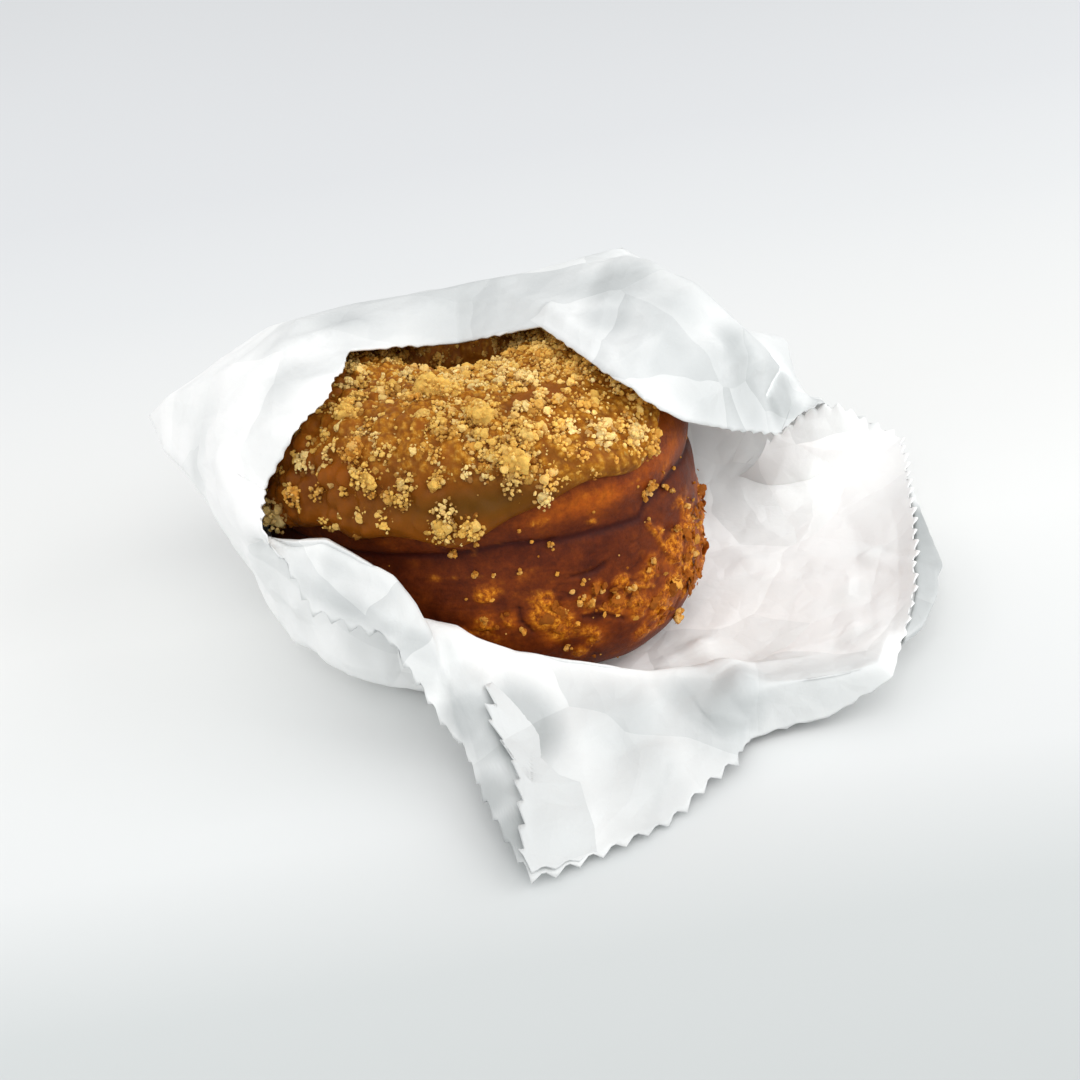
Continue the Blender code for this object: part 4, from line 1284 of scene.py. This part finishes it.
class MESH_OT_doughnut_grains(bpy.types.Operator):
    """Make the fine crumbs, on the icing and fallen down the side"""
    bl_idname = "mesh.doughnut_grains"
    bl_label = "Crumb grains"

    def execute(self, context):
        settings = context.scene.doughnut_crumbs
        rng = np.random.default_rng(SEED + 3)
        for name, part, smallest, largest, spread, loose in GRAIN_LAYERS:
            centres, sizes, tints = clustered_crumbs(
                settings, rng, settings.grains // part, smallest, largest, spread, loose)
            scatter_crumbs(name, centres, sizes, tints, 1, 0.28, rng)
        # crumbs fallen on the bare side of the ring: named ones, each of a few grains
        named = np.array(SIDE_CRUMBS)
        turn, section = np.radians(named[:, 0]), np.radians(named[:, 1])
        normal = ring_normal(turn, section)
        index = np.repeat(np.arange(len(named)), SIDE_GRAINS)
        centres = (ring_surface(turn, section) + normal * 0.25)[index]
        centres = centres + rng.normal(size=centres.shape) * (named[index, 2] * 0.42)[:, None]
        sizes = named[index, 2] * rng.uniform(0.3, 0.6, len(index))
        turn, section = spread_seats(rng, SIDE_SPECKS, side_weight, -50.0, 24.0)
        seat = ring_surface(turn, section) + ring_normal(turn, section) * 0.12
        centres = np.concatenate([centres, seat])
        sizes = np.concatenate([sizes, 0.12 + 0.28 * rng.uniform(0, 1, SIDE_SPECKS) ** 3])
        tints = crumb_tints(rng, len(sizes), settings) * (0.80, 0.60, 0.42)
        scatter_crumbs("side_crumbs", centres, sizes, tints, 2, 0.28, rng)
        return {"FINISHED"}


def side_weight(turn, section):
    """How many crumbs lie fallen on the side: most at the front right, by two bells."""
    return 0.2 + bell(turn, -35, 22) + 0.6 * bell(turn, -80, 30)


# ---- the bag ---------------------------------------------------------------------------
def bag_rows():
    """Row positions from the floor patch (0) to the free edge (5), closer where seen."""
    return np.concatenate([np.linspace(0.0, 1.0, 5)[:-1], np.linspace(1.0, 2.0, 13)[:-1],
                           np.linspace(2.0, 5.0, 57)])


def bag_table():
    """The sheet's inner face by station and row, with the floor patch, the floor edge
    drawn in toward the middle, as row 0."""
    table = np.array([station[1:] for station in STATIONS], float)
    return np.concatenate([table[:, :1] * (FLOOR_SHARE, FLOOR_SHARE, 0.0), table], axis=1)


def fold_shares(at):
    """How straight the sheet runs from station to station, round the mouth and along
    the columns: nearly all of it at the two sharp corners of the hood."""
    corner = station_weight(at, ("ear", "top_corner"), 1.0)
    round_mouth = SHEET_FOLDED + (0.97 - SHEET_FOLDED) * corner
    return round_mouth[:, None, None], (round_mouth - 0.14 * (1.0 - corner))[:, None]


def smooth_sheet(at, rows):
    """The sheet before it is creased: folded curves through the stations both ways."""
    round_mouth, along = fold_shares(at)
    loops = paper_curve(bag_table(), at, True, round_mouth)
    sheet = paper_curve(np.moveaxis(loops, 1, 0), rows, False, along)
    sheet[..., 2] = np.maximum(sheet[..., 2], PAPER)
    sheet[rows <= 1.0, :, 2] = PAPER
    return sheet


def sheet_point(at, row):
    """One point of the smooth sheet, at a position round the mouth and a row."""
    return smooth_sheet(np.array([at]), np.array([row, 5.0]))[0, 0]


def bag_columns(count):
    """Column positions round the mouth: the lengths along the free edge and a third of
    those along the shoulder are added up, with more at the two sharp corners, and the
    total is divided evenly."""
    fine = np.linspace(0.0, len(STATIONS), 4001)
    loops = paper_curve(bag_table(), fine, True, fold_shares(fine)[0])
    step = (np.linalg.norm(np.diff(loops[:, 5], axis=0), axis=1)
            + 0.35 * np.linalg.norm(np.diff(loops[:, 3], axis=0), axis=1)
            + 0.05 * station_weight(fine[1:], ("ear", "top_corner"), 0.1))
    total = np.concatenate([[0.0], np.cumsum(step)])
    return np.interp(np.linspace(0.0, total[-1], count + 1)[:-1], total, fine)


def crease_height(points):
    """Height of the named folds: each is a ridge about a line through its points, whose
    flanks fall straight from its height to nothing at its width."""
    total = np.zeros(points.shape[:-1])
    for height, width, path in CREASES:
        spots = [sheet_point(at, row) for at, row in path]
        nearest = path_distance(points, spots)
        total += height * np.clip(1.0 - nearest / width, 0.0, 1.0)
    return total


def bag_sheet(at, rows, crumple, tooth):
    """The middle of the sheet: the smooth sheet, moved along its normal by the named
    folds and by flat-sided noise of 23, 11 and 5 mm, then pinked at its edge."""
    sheet = smooth_sheet(at, rows)
    normal = sheet_normals(sheet)
    sheet = sheet - 0.5 * PAPER * normal
    row = rows[:, None]
    warp = np.stack([smooth_noise(sheet, 16.0, s) for s in (3, 4, 5)], -1)
    warped = sheet + 1.2 * warp
    creases = facet_noise(warped, 23.0, 1) + 0.36 * facet_noise(warped, 11.0, 2)
    creases = creases + 0.06 * facet_noise(sheet + warp, 5.0, 3)
    calm = np.maximum(0.85 * station_weight(at, SPREAD_STATIONS, 0.9),
                      0.40 * station_weight(at, HOOD_STATIONS + ("tongue",), 0.9))
    creases = creases * (1.0 - calm)[None, :]
    # over the doughnut the paper gives way outwards only
    hood = station_weight(at, HOOD_STATIONS, 0.9)[None, :]
    inward = 1.0 - 0.75 * hood * soft_step(row, 2.6, 3.6)
    creases = np.where(creases > 0.0, creases * inward, creases)
    creases = creases * (1.0 - 0.7 * hood * soft_step(row, 4.3, 5.0))
    folds = crease_height(sheet)
    loose = soft_step(row, 1.1, 2.2)
    folds = 1.25 * folds * (1.0 - 0.7 * calm) * soft_step(row, 1.0, 1.4)
    rise = crumple * creases * loose + folds
    sheet = sheet + normal * rise[..., None]
    # teeth: the last rows move out and in along the sheet by a zigzag
    count = len(at)
    teeth = 2.0 * np.abs(np.arange(count) / 5.0 % 1.0 * 2.0 - 1.0) - 1.0
    teeth = teeth + 0.25 * np.sin(np.arange(count) * 0.41)
    plain = station_weight(at, ("flap_low", "flap_tip", "flap_side", "top_corner", "dip",
                                "hood_top", "rim", "front_rim", "rim_end"), 0.6)
    outward = unit(sheet[-1] - sheet[-3])
    shallow = 0.72 * station_weight(at, ("back_left", "ear", "left", "left_low"), 0.7)
    cut = (0.5 * tooth * teeth * (1.0 - np.maximum(plain, shallow)))[None, :, None]
    pull = np.clip((row - 4.92) / 0.08, 0.0, 1.0)[..., None]
    sheet = sheet + outward[None] * cut * pull
    sheet[..., 2] = np.maximum(sheet[..., 2], 0.5 * PAPER)
    return sheet


class MESH_OT_doughnut_bag(bpy.types.Operator):
    """Make the creased paper bag"""
    bl_idname = "mesh.doughnut_bag"
    bl_label = "Paper bag"

    def execute(self, context):
        # the middle sheet moved half its thickness to each side, closed along the mouth
        # by a wall and under the doughnut by a fan to the middle of the floor patch
        settings = context.scene.doughnut_bag
        at = bag_columns(BAG_COLUMNS)
        rows = bag_rows()
        middle = bag_sheet(at, rows, settings.crumple / MM, settings.tooth / MM)
        normal = sheet_normals(middle)
        normal[rows <= 1.0] = (0.0, 0.0, 1.0)
        half = 0.5 * settings.sheet / MM
        inner = middle + half * normal
        outer = middle - half * normal
        hub = inner[0].mean(axis=0)
        points = np.concatenate([inner.reshape(-1, 3), outer.reshape(-1, 3),
                                 [hub, hub - (0.0, 0.0, 2.0 * half)]])
        count, columns = len(rows), len(at)
        size = count * columns
        first = np.arange(columns)
        then = (first + 1) % columns
        mouth = (count - 1) * columns
        hubs = np.full(columns, 2 * size)
        triangles = np.concatenate([
            two_sided(grid_quads(count, columns, False, True), size, mouth + first,
                      mouth + then, True),
            np.stack([first, then, hubs], axis=-1),
            np.stack([size + then, size + first, hubs + 1], axis=-1)])
        material = paper_material(settings)
        shade = sheet_shade(at, rows, middle).ravel()
        shade = np.concatenate([shade, shade, [0.0, 0.0]])
        piece = make_piece("bag_sheet", points, triangles, ["paper_bag"],
                           material, {"shade": np.repeat(shade[:, None], 3, axis=1)})
        fix_outward(piece)
        self.add_leaves(settings, material, at, rows, middle)
        return {"FINISHED"}

    def add_leaves(self, settings, material, at, rows, middle):
        """Three loose leaves of the mouth: over the left of the tongue, at the right of
        the hood, and out from under the right edge."""
        half = 0.5 * settings.sheet / MM
        tooth = settings.tooth / MM
        # over the tongue: its left edge follows a path, its right side sinks in
        length, width = 120, 24
        s = np.linspace(0.0, 1.0, length)
        t = np.linspace(0.0, 1.0, width)[None, :]
        knots = np.linspace(0.0, 1.0, len(TONGUE_EDGE))
        start, level = (np.interp(s, knots, column)[:, None]
                        for column in np.array(TONGUE_EDGE).T)
        leaf, normal = sheet_spots(at, rows, middle, start + 0.85 * t,
                                   np.broadcast_to(level, (length, width)))
        lift = (1.9 * (1.0 - t) ** 1.3 - 0.35) * soft_step(s, 0.0, 0.18)[:, None]
        lift = lift - 0.35 * (1.0 - soft_step(s, 0.0, 0.18))[:, None]
        outward = unit(leaf[:, :1] - leaf[:, 3:4])
        teeth = zigzag(length, 0.15)[:, None] * np.clip(1.0 - 12.0 * t, 0.0, 1.0)
        leaf = leaf + normal * lift[..., None]
        leaf = leaf + outward * (1.3 * tooth * teeth)[..., None]
        # painted shade: the tongue leaf is greyer all over
        make_leaf("bag_tongue_leaf", leaf, half, 0.36, material)
        # at the right of the hood: a pinked corner standing on the sheet
        length, width = 70, 22
        knots = np.moveaxis(np.array(CORNER_LEAF), 1, 0)
        ends = paper_curve(knots, np.linspace(0.0, len(knots) - 1.0, length), False, 0.4)
        t = np.linspace(0.0, 1.0, width)[None, :, None]
        leaf = ends[:, :1] + (ends[:, 1:] - ends[:, :1]) * t
        leaf = leaf + np.sin(np.pi * t) * (0.3, -1.4, 0.0)
        teeth = zigzag(length, 0.24)[:, None, None] * np.clip(8.0 * t - 7.0, 0.0, 1.0)
        leaf = leaf + tooth * teeth * (0.0, 0.0, 1.0)
        leaf = leaf + 0.7 * facet_noise(leaf, 7.0, 31)[..., None] * (0.2, 1.0, 0.0)
        make_leaf("bag_corner_leaf", leaf, half, 0.0, material)
        # under the right edge: out to its own round edge, then folded down
        length, width = 90, 21
        s = np.linspace(0.0, 1.0, length)
        place = 5.50 + 1.90 * s
        rim, normal = sheet_spots(at, rows, middle, place, np.full(length, 4.90))
        inner, _ = sheet_spots(at, rows, middle, place, np.full(length, 4.74))
        outward = unit((rim - inner) * (1.0, 1.0, 0.0))
        reach = np.interp(s, (0.0, 0.10, 0.30, 0.50, 0.66, 0.80, 1.0),
                          (0.2, 2.4, 4.2, 4.8, 3.2, 2.0, 1.0))[:, None]
        knots = np.stack([inner - 1.0 * normal, rim - 1.1 * normal,
                          rim + outward * reach - (0.0, 0.0, 1.4),
                          rim + outward * (reach - 0.5) - (0.0, 0.0, 2.8),
                          rim + outward * (reach - 3.5) - (0.0, 0.0, 5.5)])
        leaf = paper_curve(knots, np.linspace(0.0, 4.0, width), False, 0.6)
        leaf = np.moveaxis(leaf, 0, 1)
        leaf[..., 2] = np.maximum(leaf[..., 2], LOWEST)
        stir = 0.18 * facet_noise(leaf, 4.0, 21)[..., None] * (0.6, 0.6, 0.8)
        leaf = leaf + stir * np.linspace(0.0, 1.0, width)[None, :, None] ** 0.5
        # painted shade: the right leaf greyer toward its far end, lighter again near the end,
        # in facets of 6 mm
        grey = np.clip(0.45 + 0.50 * s - 0.6 * soft_step(s, 0.80, 0.90), 0.0, 1.0)
        grey = grey[:, None] + 0.12 * facet_noise(leaf, 6.0, 22)
        make_leaf("bag_right_leaf", leaf, half, grey, material)


def sheet_shade(at, rows, middle):
    """How much painted shade the paper has, 0 to 1: each named place falls off straight
    to a ragged edge, steps of 26 mm and facets of 9 mm are added, and the paper of the
    hood and the tongue gets more."""
    shade = np.zeros(middle.shape[:-1])
    for place, row, size, depth in SHADES:
        away = np.linalg.norm(middle - sheet_point(place, row), axis=-1)
        away = away + 0.35 * size * facet_noise(middle, 7.0, 8)
        shade = np.maximum(shade, depth * np.clip(1.6 - away / size, 0.0, 1.0))
    # painted shade in steps of 26 mm and facets of 9 mm
    steps = np.round(2.2 * facet_noise(middle + 40.0, 26.0, 12))
    shade = shade + 0.035 * steps + 0.05 * facet_noise(middle, 9.0, 14)
    row = rows[:, None]
    # painted shade over the hood and on the flat tongue
    over = station_weight(at, HOOD_STATIONS[:6] + ("hood_end", "corner_fold"), 0.8)
    over = over[None, :] * soft_step(row, 2.7, 3.4)
    flat = station_weight(at, ("tongue", "tongue_side", "notch"), 0.7)[None, :]
    return shade - 0.03 + 0.27 * over + 0.24 * flat * soft_step(row, 3.0, 3.6)


def sheet_spots(at, rows, middle, place, row):
    """Points and unit normals of the creased sheet at positions between its grid, from
    the four grid points round each, weighted by how near they are."""
    grid = np.concatenate([middle, sheet_normals(middle)], axis=-1)
    grid = np.concatenate([grid, grid[:, :1]], axis=1)
    around = np.append(at, at[0] + len(STATIONS))
    j = np.interp((place - at[0]) % len(STATIONS) + at[0], around, np.arange(len(around)))
    i = np.interp(row, rows, np.arange(len(rows)))
    low_i = np.clip(np.floor(i).astype(int), 0, len(rows) - 2)
    low_j = np.clip(np.floor(j).astype(int), 0, len(around) - 2)
    u, v = (i - low_i)[..., None], (j - low_j)[..., None]
    spot = ((1 - u) * (1 - v) * grid[low_i, low_j] + (1 - u) * v * grid[low_i, low_j + 1]
            + u * (1 - v) * grid[low_i + 1, low_j] + u * v * grid[low_i + 1, low_j + 1])
    return spot[..., :3], unit(spot[..., 3:])


def zigzag(count, step):
    """Teeth of straight flanks between half above and half below, a step of a flank
    further at each of a count of columns."""
    return np.abs((np.arange(count) * step) % 2.0 - 1.0) - 0.5


def make_leaf(name, leaf, half, shade, material):
    """A loose leaf: its middle grid thickened and closed, both faces in one shade."""
    points, faces = closed_sheet(leaf, half)
    shade = np.broadcast_to(shade, (2,) + leaf.shape[:-1])
    fix_outward(make_piece(name, points, faces, ["paper_bag"], material,
                           {"shade": np.repeat(shade[..., None], 3, -1)}))


def closed_sheet(middle, half):
    """Points and triangles of an open grid moved half a thickness to both sides along
    its normals, with a wall all round."""
    normal = unit(np.cross(np.gradient(middle, axis=0), np.gradient(middle, axis=1)))
    points = np.concatenate([(middle + half * normal).reshape(-1, 3),
                             (middle - half * normal).reshape(-1, 3)])
    rows, columns = middle.shape[:2]
    number = np.arange(rows * columns).reshape(rows, columns)
    edge = np.concatenate([number[0], number[1:, -1], number[-1, -2::-1],
                           number[-2:0:-1, 0]])
    quads = grid_quads(rows, columns, False, False)
    return points, two_sided(quads, rows * columns, edge, np.roll(edge, -1), False)


# ---- stage -----------------------------------------------------------------------------
def area_light(name, place, target, size, power):
    """A square lamp turned toward a point."""
    data = bpy.data.lights.new(name, "AREA")
    data.energy = power
    data.size = size
    light = bpy.data.objects.new(name, data)
    light.location = place
    way = Vector(target) - Vector(place)
    light.rotation_euler = way.to_track_quat("-Z", "Y").to_euler()
    bpy.context.scene.collection.objects.link(light)


class SCENE_OT_doughnut_stage(bpy.types.Operator):
    """Make the floor, the soft lights and the camera"""
    bl_idname = "scene.doughnut_stage"
    bl_label = "Stage"

    def execute(self, context):
        settings = context.scene.doughnut_stage
        mesh = bpy.data.meshes.new("floor")
        corners = np.array([(-1, -1, 0), (1, -1, 0), (1, 1, 0), (-1, 1, 0)])
        corners = corners * FLOOR_REACH - (0.0, 0.0, 0.1 * MM)
        mesh.from_pydata(corners.tolist(), [], [(0, 1, 2, 3)])
        floor = bpy.data.objects.new("floor", mesh)
        context.scene.collection.objects.link(floor)
        mesh.materials.append(floor_material())

        data = bpy.data.lights.new("overhead", "SUN")
        data.energy = settings.sun
        data.angle = settings.softness
        data.color = (1.0, 0.99, 0.97)
        light = bpy.data.objects.new("overhead", data)
        light.rotation_euler = Vector(SUN_DIRECTION).to_track_quat("Z", "Y").to_euler()
        context.scene.collection.objects.link(light)
        for name, place, target, size, power in LAMPS:
            area_light(name, place, target, size, power * settings.side)

        world = bpy.data.worlds.new("room")
        world.use_nodes = True
        sky = world.node_tree.nodes["Background"]
        sky.inputs["Color"].default_value = (0.985, 0.99, 1.0, 1.0)
        sky.inputs["Strength"].default_value = settings.sky
        context.scene.world = world
        context.scene.view_settings.view_transform = "Standard"

        # the camera looks down at the target and is rolled about the line of sight
        tilt = math.radians(VIEW_TILT)
        roll = math.radians(VIEW_ROLL)
        back = Vector((0.0, -math.cos(tilt), math.sin(tilt)))
        place = Vector(VIEW_TARGET) * MM + back * (VIEW_DISTANCE * MM)
        right = (-back).cross(Vector((0.0, 0.0, 1.0))).normalized()
        up = right.cross(-back)
        rolled_right = math.cos(roll) * right + math.sin(roll) * up
        rolled_up = math.cos(roll) * up - math.sin(roll) * right
        data = bpy.data.cameras.new("camera")
        data.sensor_width = 36.0
        data.lens = data.sensor_width / 2.0 / math.tan(math.radians(VIEW_ANGLE / 2.0))
        data.clip_start = 0.01
        data.clip_end = 20.0
        camera = bpy.data.objects.new("camera", data)
        turn = Matrix((rolled_right, rolled_up, back)).transposed()
        camera.matrix_world = Matrix.Translation(place) @ turn.to_4x4()
        context.scene.collection.objects.link(camera)
        context.scene.camera = camera
        return {"FINISHED"}


# ---- panel and registration -----------------------------------------------------------
OPERATORS = (
    MESH_OT_doughnut_crust,
    MESH_OT_doughnut_flakes,
    MESH_OT_doughnut_icing,
    MESH_OT_doughnut_clumps,
    MESH_OT_doughnut_bits,
    MESH_OT_doughnut_grains,
    MESH_OT_doughnut_bag,
    SCENE_OT_doughnut_stage,
)


class VIEW3D_PT_doughnut(bpy.types.Panel):
    """The doughnut's pieces and their settings"""
    bl_label = "Doughnut"
    bl_idname = "VIEW3D_PT_doughnut"
    bl_space_type = "VIEW_3D"
    bl_region_type = "UI"
    bl_category = "Doughnut"

    def draw(self, context):
        for name, group in SETTINGS:
            box = self.layout.box()
            for key in group.__annotations__:
                box.prop(getattr(context.scene, name), key)
        for operator in OPERATORS:
            self.layout.operator(operator.bl_idname)


def register():
    """Registers the settings, the operators and the panel."""
    for name, group in SETTINGS:
        bpy.utils.register_class(group)
        setattr(bpy.types.Scene, name, bpy.props.PointerProperty(type=group))
    for item in (*OPERATORS, VIEW3D_PT_doughnut):
        bpy.utils.register_class(item)


def unregister():
    """Takes them away again, in the opposite order."""
    for item in reversed((*OPERATORS, VIEW3D_PT_doughnut)):
        bpy.utils.unregister_class(item)
    for name, group in reversed(SETTINGS):
        delattr(bpy.types.Scene, name)
        bpy.utils.unregister_class(group)


def main():
    """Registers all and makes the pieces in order."""
    register()
    bpy.ops.scene.doughnut_stage()
    bpy.ops.mesh.doughnut_crust()
    bpy.ops.mesh.doughnut_flakes()
    bpy.ops.mesh.doughnut_icing()
    bpy.ops.mesh.doughnut_clumps()
    bpy.ops.mesh.doughnut_bits()
    bpy.ops.mesh.doughnut_grains()
    bpy.ops.mesh.doughnut_bag()


if __name__ == "__main__":
    main()
